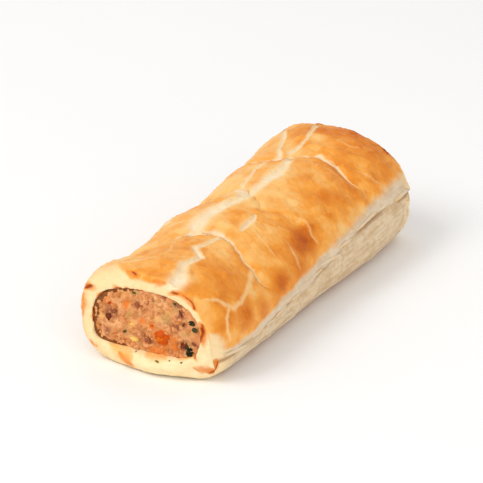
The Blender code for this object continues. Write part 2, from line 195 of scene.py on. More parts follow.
# Browned places on the crown: (angle, share, radius in mm, how much browner)
BROWNED = (
    (17, 0.295, 7.0, 0.60), (27, 0.47, 9.5, 0.80), (40, 0.43, 8.0, 0.35), (30, 0.41, 6.0, 0.35), (50, 0.13, 11.0, 0.40),
    (26, 0.09, 12.0, 0.32), (10, 0.12, 8.0, 0.55), (5, 0.20, 8.0, 0.42), (8, 0.27, 6.0, 0.30), (15, 0.40, 8.0, 0.50),
    (47, 0.64, 9.0, 0.34), (42, 0.75, 9.0, 0.36), (70, 0.68, 6.0, 0.22), (37, 0.68, 8.0, 0.30), (30, 0.74, 8.0, 0.25),
    (33, 0.53, 5.0, 0.45), (60, 0.80, 11.0, 0.25), (58, 0.87, 10.0, 0.30), (66, 0.97, 15.0, 0.55), (105, 0.93, 14.0, 0.50),
    (40, 0.93, 10.0, 0.36), (135, 0.44, 8.0, 0.28), (88, 0.41, 5.0, 0.28), (128, 0.16, 6.0, 0.20), (95, 0.02, 8.0, 0.30),
    (90, 0.18, 8.0, 0.28), (112, 0.18, 6.0, 0.2), (78, 0.02, 5.0, 0.30), (55, 0.01, 6.0, 0.35), (30, 0.60, 5.0, 0.2), (11, 0.03, 5.0, 0.35),
    (158, 0.32, 10.0, 0.2), (160, 0.68, 11.0, 0.25), (30, 0.84, 6.0, 0.25), (72, 0.29, 6.0, 0.25), (63, 0.47, 7.0, 0.2),
    (47, 0.04, 6.0, 0.3), (14, 0.05, 6.0, 0.35), (11, 0.31, 5.0, 0.3), (12, 0.18, 6.0, 0.1), (36, 0.36, 6.0, 0.3), (24, 0.43, 5.0, 0.3),
    (96, 0.90, 5.0, -0.35), (81, 0.37, 5.0, 0.28), (106, 0.85, 6.0, 0.2), (28, 0.06, 5.0, 0.3),
)
# Paler places on the crown, as (angle, share, radius in mm, how much paler); the last one, at 138 degrees, is a painted
# highlight on the left shoulder
PALER_AND_HIGHLIGHT = (
    (110, 0.36, 13.0, 0.35), (104, 0.52, 12.0, 0.35), (128, 0.62, 14.0, 0.22), (97, 0.66, 11.0, 0.30), (58, 0.21, 7.0, 0.2),
    (66, 0.26, 8.0, 0.20), (62, 0.55, 9.0, 0.22), (80, 0.57, 8.0, 0.25), (115, 0.82, 8.0, 0.12), (140, 0.10, 10.0, 0.35),
    (30, 0.24, 4.0, 0.3), (68, 0.37, 5.0, 0.25), (68, 0.27, 7.0, 0.25), (102, 0.46, 7.0, 0.3), (80, 0.23, 5.0, 0.25), (19, 0.62, 4.0, 0.4), (20, 0.73, 5.0, 0.5),
    (22, 0.85, 4.0, 0.3), (21, 0.18, 4.0, 0.35), (26, 0.10, 4.0, 0.25), (120, 0.29, 4.0, 0.5), (101, 0.80, 6.0, 0.4), (100, 0.90, 8.0, 0.35),
    (122, 0.70, 6.0, 0.35), (82, 0.48, 5.0, 0.35), (88, 0.34, 5.0, 0.2), (138, 0.61, 10.0, 0.6),
)

# Singed places near the cuts: routes of (angle, distance in from the cut in mm, half width in mm)
SINGED_NEAR = (
    ((160, -1.1, 0.4), (157, -1.4, 0.8), (154, -1.7, 0.4)),
    ((118, -4.9, 0.2), (122, -4.6, 0.4), (127, -4.9, 0.2)), ((131, -4.9, 0.2), (137, -4.4, 0.5), (143, -4.9, 0.2)),
    ((152, -4.9, 0.2), (159, -4.6, 0.4), (166, -4.9, 0.2)), ((178, -4.9, 0.2), (186, -4.6, 0.4), (193, -4.9, 0.2)),
    ((59, -2.0, 0.4), (56, -1.8, 0.6), (54, -1.6, 0.3)),
    ((51, -1.1, 0.2), (45, -0.5, 0.4), (39, -0.9, 0.45), (35, -1.3, 0.3)),
    ((23, -1.5, 0.3), (16, -2.2, 0.5), (11, -2.8, 0.5), (4, -3.4, 0.4), (-2, -4.0, 0.6), (-7, -4.3, 0.3)),
    ((-22, -4.8, 0.3), (-24, -4.3, 0.4)), ((-24, -1.2, 0.3), (-19, -0.6, 0.4), (-15, -0.2, 0.3)),
    ((110, -0.7, 0.3), (107, -0.9, 0.5), (105, -1.3, 0.3)),
)
TOASTED_NEAR = (
    ((165, -1.2, 0.6), (172, -1.6, 0.7), (177, -1.4, 0.8), (182, -1.0, 0.6)),
    ((-130, -3.5, 0.3), (-122, -3.0, 0.5), (-115, -2.3, 0.8), (-109, -1.6, 0.4)), ((-158, -1.9, 0.3), (-153, -2.2, 0.4), (-149, -2.5, 0.3)),
    ((-31, -2.3, 0.4), (-25, -2.0, 0.5), (-18, -1.2, 0.8), (-13, -0.2, 0.5)),
    ((115, -0.8, 0.5), (108, -0.8, 0.9), (102, -1.4, 0.5)), ((84, -1.4, 0.5), (78, -1.4, 0.9), (73, -1.2, 0.6)),
    ((56, -1.8, 0.6), (48, -0.9, 0.8), (40, -0.7, 0.9), (34, -1.2, 0.5)),
    ((22, -1.6, 0.6), (12, -2.6, 0.9), (0, -3.6, 0.8)),
)
SINGED_FAR = (
    ((150, 0.2, 0.4), (147, 0.0, 0.9), (144, 0.4, 0.4)), ((76, -0.6, 0.4), (72, -0.4, 0.9), (66, -0.6, 0.4)),
    ((44, -0.2, 0.4), (40, 0.0, 1.0), (37, -0.2, 0.4)), ((120, -1.0, 0.4), (108, -1.2, 0.7), (98, -1.0, 0.3)),
    ((12, -1.0, 0.3), (4, -1.4, 0.6), (-3, -1.2, 0.3)),
)
TOASTED_FAR = (
    ((150, -0.6, 0.8), (138, -0.4, 1.0), (128, -1.0, 0.7)), ((110, -1.2, 0.9), (90, -1.0, 1.3), (70, -0.9, 0.9)),
    ((52, -0.6, 0.9), (40, -0.4, 1.2), (28, -0.6, 0.6)), ((-120, -2.8, 0.7), (-110, -2.6, 1.1), (-100, -2.8, 0.7)),
)
JUICE_NEAR = (
    ((-86, -4.9, 0.7), (-76, -4.8, 1.0), (-64, -4.8, 1.0), (-54, -4.9, 0.6)),
    ((-140, -4.8, 0.7), (-132, -4.1, 1.3), (-121, -3.6, 1.5), (-111, -3.4, 1.0)),
    ((-40, -4.9, 0.6), (-34, -4.9, 0.7), (-24, -4.9, 0.5)),
)
JUICE_FAR = (((-120, -4.8, 0.7), (-104, -4.5, 1.1), (-92, -4.8, 0.7)), ((-60, -4.9, 0.6), (-48, -4.7, 0.9), (-40, -4.9, 0.5)))
# Where the cut edges are warmer in colour near the skin: (angle from -180 to 180, how much)
WARM_RIM = ((-180, 1.0), (-150, 0.7), (-120, 0.2), (-50, 0.0), (-10, 0.25), (30, 0.6), (75, 0.95), (100, 0.9), (140, 0.75), (180, 1.0))
RIM_DEPTH = 0.005           # how far in from the skin the cut edge is counted, from skin to bore

# Bits in the near cut face, in mm: (x, z, width, height), and how light the bit is where that matters, over 1 for a heart laid on a bit
CARROT_NEAR = ((4.0, 14.0, 5.6, 5.3, 0.3), (3.6, 13.6, 3.0, 2.6, 1.2), (0.5, 18.0, 1.2, 0.5, 0.6), (-16.0, 22.3, 0.8, 1.4, 0.0))
ONION_NEAR = ((-16.2, 16.9, 2.4, 2.6), (-14.4, 20.3, 2.3, 2.4), (-1.5, 12.5, 2.1, 2.8), (12.4, 12.9, 2.8, 2.0),
              (15.9, 14.2, 1.7, 1.2), (-5.1, 23.8, 1.1, 1.5), (11.3, 24.2, 0.8, 2.8), (12.3, 20.6, 0.6, 1.8), (4.9, 28.9, 1.3, 1.0))
HERBS_NEAR = ((15.3, 21.8, 2.3, 1.8, 0.1), (16.4, 19.6, 1.7, 1.9, 0.2), (13.5, 12.6, 1.4, 1.6, 0.1), (14.4, 10.9, 2.3, 3.4, 0.0),
              (-9.9, 13.5, 1.7, 0.8, 0.35), (-6.5, 28.2, 1.3, 0.7, 0.35), (9.0, 27.4, 1.0, 0.7, 0.35))
ONION_GOLD_NEAR = ((-7.0, 16.8, 1.6, 1.0), (-6.7, 11.0, 2.6, 2.0))
# Flecks of herb on the lip: (angle, share of the way from the skin to the bore, size in mm)
LIP_FLECKS = ((-65, 0.75, 1.5), (-38, 0.78, 1.2), (-106, 0.88, 0.9), (-49, 0.84, 0.8))
# Soft stains round them, in mm: (x, z, radius)
STAINS = {
    "plum": ((-15.6, 18.6, 3.8), (-14.4, 21.0, 2.6), (12.0, 12.8, 3.2), (-1.5, 12.5, 2.2), (11.4, 23.8, 2.0), (10.3, 27.6, 2.2),
             (9.3, 18.6, 2.6), (16.2, 13.9, 2.0), (-5.0, 23.8, 1.8), (4.9, 28.8, 2.0), (-16.8, 12.0, 2.0), (0.0, 26.9, 2.2)),
    "stained": ((4.0, 13.6, 4.8), (3.2, 9.8, 3.6), (9.0, 12.0, 3.6), (-2.5, 18.7, 2.0), (0.5, 18.1, 2.2), (-9.7, 23.5, 2.0),
                (-16.2, 22.6, 2.6), (7.4, 15.0, 2.6), (-0.5, 9.4, 2.2)),
    "golden": ((-7.1, 16.6, 2.6), (-6.6, 11.0, 3.0), (6.2, 22.8, 2.0), (1.8, 20.6, 2.2), (-12.6, 11.4, 2.4), (-1.4, 15.6, 2.2),
               (-18.6, 17.0, 1.8), (-10.6, 27.6, 2.2), (14.0, 17.6, 2.0)),
    "olive": ((5.6, 21.6, 2.6), (-9.9, 13.6, 2.0), (-6.5, 28.0, 2.4), (9.0, 27.0, 2.6), (12.4, 16.8, 2.2), (-8.0, 20.4, 2.0)),
}

# The far cut face shows the near one's bits and stains upside down: heights are taken from this one, in mm
FAR_FLIP = 38.6

# How far the meat has drawn back from the wall and browned: (angle, share)
DRAWN_BACK = ((0, 0.0), (60, 0.1), (95, 0.35), (118, 0.8), (135, 1.0), (200, 1.0), (222, 0.6), (240, 0.1), (300, 0.0), (360, 0.0))

# Loose leaves of pastry, as (routes of (share, angle), count, length, width, raised and lifted in mm, tone, burn)
FLAKE_ROWS = (
    (((0.06, -11), (0.34, -2), (0.45, 1), (0.66, 12), (0.82, 13), (0.97, 9)), 14, 11.0, 1.0, 0.10, 0.30, 0.10, 0.0),
    (((0.08, -21), (0.34, -13), (0.66, -1), (0.97, -5)), 8, 12.0, 1.0, 0.0, 0.20, 0.05, 0.0),
    (((0.10, -24), (0.50, -20), (0.95, -22)), 7, 12.0, 1.1, 0.0, 0.20, 0.0, 0.0),
    (((0.05, 194), (0.40, 190), (0.95, 196)), 18, 11.0, 1.1, 0.0, 0.30, 0.12, 0.0),
    (((0.08, 205), (0.50, 208), (0.93, 204)), 14, 12.0, 1.2, 0.0, 0.25, 0.05, 0.0),
)
# Single leaves as (angle, share, turn in degrees, length, width, raised and lifted in mm, tone, burn)
FLAKES = (
    (96, 0.300, 95, 4.0, 0.7, 0.15, 0.30, 0.3, 0.0), (112, 0.268, 115, 3.2, 0.6, 0.15, 0.30, 0.3, 0.0),
    (64, 0.812, 80, 3.6, 0.6, 0.15, 0.30, 0.5, 0.0), (84, 0.812, 100, 3.0, 0.6, 0.15, 0.30, 0.4, 0.0),
    (108, 0.776, 110, 3.0, 0.6, 0.15, 0.30, 0.3, 0.0), (126, 0.556, 120, 2.8, 0.6, 0.15, 0.30, 0.3, 0.0),
    (110, 0.985, 88, 3.0, 0.8, 0.10, 0.35, 0.9, 0.8), (74, 0.980, 90, 2.6, 0.9, 0.10, 0.40, 0.9, 0.9),
    (52, 0.974, 95, 3.0, 0.7, 0.10, 0.30, 0.9, 0.5), (40, 0.970, 90, 2.2, 1.0, 0.10, 0.45, 0.9, 1.0), (24, 0.965, 90, 2.6, 0.8, 0.10, 0.35, 0.8, 0.3),
    (3, 0.958, 80, 2.4, 1.2, 0.10, 0.50, 0.1, 0.3), (-8, 0.960, 80, 2.6, 1.0, 0.10, 0.40, 0.0, 0.0), (160, 0.975, 80, 2.6, 0.9, 0.10, 0.35, 0.6, 0.2),
    (176, 0.030, 90, 2.4, 0.9, 0.10, 0.35, 0.3, 0.0),
)

# Mesh density of the pastry
SIDE_COLUMNS = 236
BASE_COLUMNS = 30
SIDE_START = -38.0
SIDE_END = 218.0
PLATE_ROWS = (60, 46, 58, 46)
SLASH_ROWS = (-0.86, -0.72, -0.58, -0.44, -0.31, -0.19, -0.08, 0.0, 0.14, 0.3, 0.5, 0.75)
END_CROWDING = 1.25
RIM_ROWS = 14
BORE_ROWS = 4
WELD = 0.00001


# ---------------------------------------------------------------- small sums
def clamp(value):
    """Hold values between 0 and 1."""
    return np.clip(value, 0.0, 1.0)


def mix(start, end, share):
    """Go from start to end by a share."""
    return start + (end - start) * share


def ease(share):
    """Go from 0 to 1 with a soft start and a soft end."""
    share = clamp(share)
    return share * share * (3 - 2 * share)


def along_route(route, place, column=1, shape=ease):
    """Read a value from a route of (place, value, ...) points at many places at once."""
    places = np.array([point[0] for point in route], float)
    values = np.array([point[column] for point in route], float)
    place = np.clip(place, places[0], places[-1])
    before = np.clip(np.searchsorted(places, place, side="right") - 1, 0, len(places) - 2)
    return mix(values[before], values[before + 1], shape((place - places[before]) / (places[before + 1] - places[before])))


def profile(route, share):
    """Read a width or a height, in straight runs between the points of its route."""
    return along_route(route, share, shape=clamp)


def wrap(angle):
    """Bring angles in degrees into the range from -90 to 270."""
    return (np.asarray(angle, float) + 90) % 360 - 90


def display(red, green, blue):
    """A colour as seen on a display, 0 to 255, as the linear numbers that shaders take."""
    return tuple(((v / 255 + 0.055) / 1.055) ** 2.4 if v > 10 else v / 255 / 12.92 for v in (red, green, blue))


def rough(points, scale, octaves=3):
    """Smooth noise at many points, from about -1 to 1, with bumps of a size in metres."""
    return np.array([noise.fractal(Vector(point) / scale, 1.0, 2.0, octaves) for point in points])


# ---------------------------------------------------------------- form of the pastry
def length_share(y):
    """The share of the length between the two cuts that a place along Y lies at."""
    return (y - NEAR_END) / LENGTH


def draw_in(y, side):
    """How far a side of the skin is drawn in at a place along the roll."""
    near = clamp(1 - (y - NEAR_END) / DRAW_IN_LENGTH) ** 2
    far = clamp(1 - (FAR_END - y) / DRAW_IN_LENGTH) ** 2
    return NEAR_DRAW_IN[side] * near + FAR_DRAW_IN[side] * far


def superellipse(cosine, sine, across, upright, square):
    """How far a rounded box shape reaches from its middle in one direction."""
    return (np.abs(cosine / across) ** square + np.abs(sine / upright) ** square) ** (-1 / square)


def outline(angle, y):
    """The plain skin's x and z at an angle and a place along the roll, with no relief."""
    share = length_share(y)
    cosine, sine = np.cos(np.radians(angle)), np.sin(np.radians(angle))
    height = profile(HEIGHT, share) - draw_in(y, "top")
    waist = WAIST * height
    right = cosine >= 0
    across = np.where(right, profile(HALF_WIDTH_RIGHT, share) - draw_in(y, "right"),
                      profile(HALF_WIDTH_LEFT, share) - draw_in(y, "left"))
    square = np.where(sine >= 0, np.where(right, *SQUARE_TOP), np.where(right, *SQUARE_BASE))
    upright = np.where(sine >= 0, height - waist, waist + BASE_PRESS)
    reach = superellipse(cosine, sine, across, upright, square)
    return MIDDLE_X + reach * cosine, waist + reach * sine


def slash_place(slash, angle):
    """Where a slash runs along Y, at an angle round the roll."""
    turn = np.radians(angle)
    wander = 0.0004 * np.sin(turn * 5.3 + slash["depth"] * 9000) + 0.0002 * np.sin(turn * 11.7 + 2.0)
    return NEAR_END + LENGTH * along_route(slash["route"], wrap(angle)) + wander


def slash_strength(slash, angle):
    """How much of its full depth a slash has at an angle round the roll."""
    return along_route(slash["route"], wrap(angle), 3)


def slash_relief(angle, y):
    """The valleys of the slashes: a soft roll on the near side and a cut face on the far side."""
    relief = 0.0
    for slash in SLASHES:
        beyond = y - slash_place(slash, angle)
        rolled = clamp(1 + beyond / SLASH_ROLL) ** 2.6
        face = clamp(1 - beyond / SLASH_FACE)
        relief = relief - slash["depth"] * slash_strength(slash, angle) * np.where(beyond < 0, rolled, face)
    return relief


def puff_relief(angle, y):
    """The skin swells between the slashes and towards nothing at the underside."""
    edges = [NEAR_END] + [slash_place(slash, angle) for slash in SLASHES] + [FAR_END]
    relief = 0.0
    for start, end in zip(edges, edges[1:]):
        relief = relief + np.sin(np.pi * clamp((y - start) / (end - start)))
    return PUFF_RISE * relief * along_route(SLASH_REACH, wrap(angle))


def shoulder_relief(angle, y):
    """The dents and swellings along the left shoulder."""
    weight = ease(1 - np.abs(wrap(angle) - SHOULDER_ANGLE) / SHOULDER_SPREAD)
    return weight * along_route(SHOULDER, length_share(y)) * MM


def seam_relief(angle, y):
    """The groove under the top sheet's edge, with the edge standing proud above it."""
    above = wrap(angle) - along_route(SEAM_ROUTE, length_share(y))
    edge = SEAM_LIP * clamp(1 - (above - SEAM_STEP) / SEAM_FADE)
    drop = mix(-SEAM_DEPTH, SEAM_LIP, ease(above / SEAM_STEP))
    groove = -SEAM_DEPTH * clamp(1 + above / SEAM_FADE) ** 1.5
    relief = np.where(above > SEAM_STEP, edge, np.where(above > 0, drop, groove))
    relief = relief * ease((length_share(y) - 0.02) / 0.10)
    return relief * mix(0.55, 1.0, ease(0.5 + 0.8 * np.sin(y * 190 + 1.0) * np.sin(y * 83)))


def skin_point(angle, y):
    """Points on the skin with its main relief."""
    x, z = outline(angle, y)
    relief = slash_relief(angle, y) + puff_relief(angle, y) + shoulder_relief(angle, y) + seam_relief(angle, y)
    x = x + relief * np.cos(np.radians(angle))
    z = z + relief * np.sin(np.radians(angle))
    return np.stack([x, y + 0 * x, np.maximum(z, 0.0)], -1)


def bore_point(angle, y, clearance=0.0):
    """Points on the wall of the bore, or inside it by a clearance."""
    share = length_share(y)
    right = profile(HALF_WIDTH_RIGHT, share) - NEAR_DRAW_IN["right"] - WALL["right"]
    left = profile(HALF_WIDTH_LEFT, share) - NEAR_DRAW_IN["left"] - WALL["left"]
    top = profile(HEIGHT, share) - NEAR_DRAW_IN["top"] - WALL["top"]
    cosine, sine = np.cos(np.radians(angle)), np.sin(np.radians(angle))
    square = np.where(sine >= 0, np.where(cosine >= 0, *BORE_SQUARE_TOP), np.where(cosine >= 0, *BORE_SQUARE_BASE))
    reach = superellipse(cosine, sine, (right + left) / 2 - clearance, (top - WALL["base"]) / 2 - clearance, square)
    x = MIDDLE_X + (right - left) / 2 + reach * cosine
    z = (WALL["base"] + top) / 2 + reach * sine
    return np.stack([x, y + 0 * x, z], -1)


def end_place(end, angle):
    """Where the skin ends along Y: the near cut has one corner curled back, the far cut is askew."""
    cosine = np.cos(np.radians(angle))
    if end == "far":
        return FAR_END - FAR_SKEW * (1 + cosine)
    curl = np.maximum(0.0, np.cos(np.radians(angle - CORNER_ANGLE))) ** CORNER_TIGHTNESS
    return NEAR_END + NEAR_SKEW * (1 - cosine) + CORNER_SETBACK * curl


def leaned_angle(angle, y):
    """Lean a column over near the seam, so that it follows the groove."""
    pull = clamp(1 - np.abs(wrap(angle) - SEAM_NOMINAL) / SEAM_PULL)
    return angle + (along_route(SEAM_ROUTE, length_share(y)) - SEAM_NOMINAL) * pull


def rim_point(end, angle, turn):
    """Points on a cut edge of the wall: turn runs from 0 at the skin to 1 at the bore."""
    edge = end_place(end, angle)
    skin = skin_point(leaned_angle(angle, edge), edge)
    bore = bore_point(angle, np.full_like(angle, NEAR_END if end == "near" else FAR_END - FAR_SKEW))
    bulge = RIM_BULGE + along_route(LIP_REACH, angle % 360) * (1 if end == "near" else FAR_LIP_SHARE)
    point = mix(skin, bore, (1 - math.cos(math.pi * turn)) / 2)
    point[:, 1] += (-1 if end == "near" else 1) * bulge * math.sin(math.pi * turn)
    return point


def skin_rows(angle):
    """Every row's place along the skin, at each column's angle, from the near cut to the far one."""
    rows = []
    for plate, count in enumerate(PLATE_ROWS):
        near_cut, far_cut = plate == 0, plate == len(SLASHES)
        start = end_place("near", angle) if near_cut else slash_place(SLASHES[plate - 1], angle) + SLASH_FACE
        end = end_place("far", angle) if far_cut else slash_place(SLASHES[plate], angle) - SLASH_ROLL
        for step in range(count + 1):
            share = step / count
            if near_cut:
                share = share ** END_CROWDING
            if far_cut:
                share = 1 - (1 - share) ** END_CROWDING
            rows.append(mix(start, end, share))
        if not far_cut:
            middle = slash_place(SLASHES[plate], angle)
            rows += [middle + step * (SLASH_ROLL if step < 0 else SLASH_FACE) for step in SLASH_ROWS]
    return rows


def pastry_rows():
    """The tube's rows of points, with where each point counts: its angle, and how deep from the skin it lies."""
    side = np.linspace(SIDE_START, SIDE_END, SIDE_COLUMNS, endpoint=False)
    base = np.linspace(SIDE_END, SIDE_START + 360, BASE_COLUMNS, endpoint=False)
    angle = np.concatenate([side, base])
    rows = []
    for place in skin_rows(angle):
        leaned = leaned_angle(angle, place)
        rows.append((skin_point(leaned, place), leaned, np.zeros_like(angle)))
    for step in range(1, RIM_ROWS + 1):
        turn = step / RIM_ROWS
        rows.append((rim_point("far", angle, turn), angle, np.full_like(angle, turn)))
    for step in range(1, BORE_ROWS + 1):
        place = mix(FAR_END - FAR_SKEW, NEAR_END, step / BORE_ROWS)
        rows.append((bore_point(angle, np.full_like(angle, place)), angle, np.full_like(angle, 1.0 if step == BORE_ROWS else 2.0)))
    for step in range(1, RIM_ROWS):
        turn = 1 - step / RIM_ROWS
        rows.append((rim_point("near", angle, turn), angle, np.full_like(angle, turn)))
    return rows


def wrapped_grid(rows):
    """A grid wrapped round on itself both ways and put in place by its rows, with its places kept in layers."""
    columns = len(rows[0][1])
    mesh = bmesh.new()
    bmesh.ops.create_grid(mesh, x_segments=columns, y_segments=len(rows), size=1.0)
    round_layer = mesh.verts.layers.float.new("angle")
    depth_layer = mesh.verts.layers.float.new("depth")
    for vertex in mesh.verts:
        column = round((vertex.co.x + 1) / 2 * columns) % columns
        points, angles, depths = rows[round((vertex.co.y + 1) / 2 * len(rows)) % len(rows)]
        vertex.co = points[column]
        vertex[round_layer] = angles[column]
        vertex[depth_layer] = depths[column]
    bmesh.ops.remove_doubles(mesh, verts=mesh.verts, dist=WELD)
    bmesh.ops.recalc_face_normals(mesh, faces=mesh.faces)
    return mesh


# ---------------------------------------------------------------- where things lie on the pastry
ARC_ANGLES = np.linspace(-180, 360, 1081)
ARC_STEPS = np.hypot(*(np.diff(line) for line in outline(ARC_ANGLES, np.zeros_like(ARC_ANGLES))))
ARC = np.concatenate([[0.0], np.cumsum(ARC_STEPS)])
ARC -= np.interp(0.0, ARC_ANGLES, ARC)


def arc(angle):
    """How far round the skin an angle lies from angle 0, in metres."""
    return np.interp(angle, ARC_ANGLES, ARC)


def route_field(routes, across, along, scale=1.0, spread=1.0):
    """1 on the middle line of the nearest route, 0 at its edge and less outside, at many points."""
    field = np.full(across.shape, -9.0)
    for route in routes:
        points = [(float(arc(angle)), place * scale, half * spread * MM) for angle, place, half in route]
        for start, end in zip(points, points[1:]):
            run_across, run_along = end[0] - start[0], end[1] - start[1]
            share = clamp(((across - start[0]) * run_across + (along - start[1]) * run_along)
                          / (run_across ** 2 + run_along ** 2))
            away = np.hypot(across - start[0] - share * run_across, along - start[1] - share * run_along)
            field = np.maximum(field, 1 - away / mix(start[2], end[2], share))
    return field


def spot_field(spots, across, along):
    """The sum of soft round spots of (angle, share, radius in mm, strength)."""
    field = np.zeros(across.shape)
    for angle, share, radius, strength in spots:
        away = np.hypot(across - arc(angle), along - share * LENGTH) / (radius * MM)
        field += strength * ease(1 - away)
    return field


class Skin:
    """Where each point of a pastry mesh lies: its angle, its place along, and how far in from each cut."""

    def __init__(self, data):
        count = len(data.vertices)
        self.point = np.zeros(count * 3)
        data.vertices.foreach_get("co", self.point)
        self.point = self.point.reshape(-1, 3)
        self.angle = np.zeros(count)
        data.attributes["angle"].data.foreach_get("value", self.angle)
        self.angle = wrap(self.angle)
        self.depth = np.zeros(count)
        data.attributes["depth"].data.foreach_get("value", self.depth)
        jitter = np.array([noise.noise_vector(Vector(point) / 0.0035) for point in self.point]) * 0.00045
        jitter += np.array([noise.noise_vector(Vector(point) / 0.0011) for point in self.point]) * 0.0002
        self.across = arc(self.angle) + jitter[:, 0]
        y = self.point[:, 1]
        near_side = y < 0
        on_skin = self.depth == 0
        inside = -self.depth * RIM_DEPTH
        self.share = length_share(np.clip(y, NEAR_END, FAR_END))
        self.near = np.where(on_skin, y - end_place("near", self.angle), np.where(near_side, inside, LENGTH)) + jitter[:, 1]
        self.far = np.where(on_skin, end_place("far", self.angle) - y, np.where(near_side, LENGTH, inside)) + jitter[:, 2]
        self.along = np.where(on_skin, y - NEAR_END, np.where(near_side, inside, LENGTH - inside)) + jitter[:, 1]


def glaze_field(skin):
    """How far a point lies inside the egg glaze: over 0.5 is glazed. The sides fade and the cuts are crisp."""
    right = (skin.across - arc(along_route(GLAZE_RIGHT, skin.share))) / mix(0.0022, 0.0038, ease((skin.share - 0.45) / 0.15)) + 0.5
    left = (arc(along_route(GLAZE_LEFT, skin.share)) - skin.across) / 0.0045 + 0.5
    cuts = []
    for place, route in ((skin.near, GLAZE_NEAR), (skin.far, GLAZE_FAR)):
        edge, fade = along_route(route, skin.angle), along_route(route, skin.angle, 2)
        cuts.append((place / MM - edge) / fade + 0.5)
    return np.minimum(np.minimum(right, left), np.minimum(*cuts))


def band_field(skin):
    """The pale band of stretched dough on the far face of each slash: 1 on its middle line, 0 at its edges."""
    field = np.full(skin.angle.shape, -9.0)
    for slash in SLASHES:
        beyond = skin.along + NEAR_END - slash_place(slash, skin.angle)
        half = 0.5 * MM * along_route(slash["route"], skin.angle, 2)
        field = np.maximum(field, np.where(half > 0.0001, 1 - np.abs(beyond - half) / np.maximum(half, 0.0001), -9.0))
    return field


def crease_shade_field(skin):
    """Painted shade: the thin dark line at the bottom of each slash and under the top sheet's edge, where shadow falls.
    """
    field = np.zeros(skin.angle.shape)
    for slash in SLASHES:
        beyond = skin.along + NEAR_END - slash_place(slash, skin.angle)
        reach = slash_strength(slash, skin.angle) ** 2
        field = np.maximum(field, reach * clamp(1 - np.abs(beyond + 0.0002) / 0.0006))
    above = skin.angle - along_route(SEAM_ROUTE, skin.share)
    seam = 1.7 * clamp(1.2 - np.abs(above) / 2.4) * ease(0.8 + 0.9 * np.sin(skin.point[:, 1] * 190 + 1.0))
    return np.maximum(field, seam * (skin.depth == 0))


def write_field(data, name, values):
    """Keep one number for each point of a mesh, for its material to read."""
    layer = data.attributes.get(name) or data.attributes.new(name, "FLOAT", "POINT")
    layer.data.foreach_set("value", np.asarray(values, np.float32))


def raise_surface(data, height):
    """Move each point of a mesh out along its normal."""
    count = len(data.vertices)
    normal = np.zeros(count * 3)
    point = np.zeros(count * 3)
    data.vertices.foreach_get("normal", normal)
    data.vertices.foreach_get("co", point)
    point = point.reshape(-1, 3) + normal.reshape(-1, 3) * np.asarray(height)[:, None]
    point[:, 2] = np.maximum(point[:, 2], 0.0)
    data.vertices.foreach_set("co", point.ravel())
    data.update()


# ---------------------------------------------------------------- materials
def socket_of(tree, value, socket):
    """Link a node's output to a socket, or set the socket to a plain value."""
    if isinstance(value, bpy.types.NodeSocket):
        tree.links.new(value, socket)
    else:
        socket.default_value = value


def add_node(tree, kind, values=None, **settings):
    """Add a node, with its settings by name and its inputs by name or number."""
    item = tree.nodes.new(kind)
    for name, value in settings.items():
        setattr(item, name, value)
    for name, value in (values or {}).items():
        socket_of(tree, value, item.inputs[name])
    return item


def blend_colour(tree, share, start, end, blend="MIX"):
    """Mix two colours by a share."""
    item = add_node(tree, "ShaderNodeMix", {0: share, 6: start, 7: end}, data_type="RGBA", blend_type=blend)
    return item.outputs[2]


def sums(tree, operation, first, second=0.0, third=0.0):
    """One sum of numbers."""
    item = add_node(tree, "ShaderNodeMath", {0: first, 1: second, 2: third}, operation=operation)
    return item.outputs[0]


def stretch(tree, value, low, high, bottom=0.0, top=1.0, smooth=True):
    """Bring a number from one range into another, held at its ends."""
    item = add_node(tree, "ShaderNodeMapRange", {0: value, 1: low, 2: high, 3: bottom, 4: top},
                    interpolation_type="SMOOTHSTEP" if smooth else "LINEAR")
    return item.outputs[0]


def field(tree, name):
    """Read one of the numbers that the mesh keeps for each point."""
    return add_node(tree, "ShaderNodeAttribute", attribute_name=name, attribute_type="GEOMETRY").outputs["Fac"]


def new_group(name, inputs, outputs):
    """Start a node group, with its named inputs as (name, default) and its named outputs."""
    group = bpy.data.node_groups.new(name, "ShaderNodeTree")
    for label, default in inputs:
        kind = "NodeSocketColor" if isinstance(default, tuple) else "NodeSocketFloat"
        item = group.interface.new_socket(label, in_out="INPUT", socket_type=kind)
        item.default_value = default
    for label in outputs:
        group.interface.new_socket(label, in_out="OUTPUT", socket_type="NodeSocketFloat")
    return group, group.nodes.new("NodeGroupInput").outputs, group.nodes.new("NodeGroupOutput").inputs


def place_group(tree, name, **values):
    """Put a node group into a material with its own values."""
    item = tree.nodes.new("ShaderNodeGroup")
    item.node_tree = bpy.data.node_groups[name]
    for label, value in values.items():
        socket_of(tree, value, item.inputs[label])
    return item.outputs


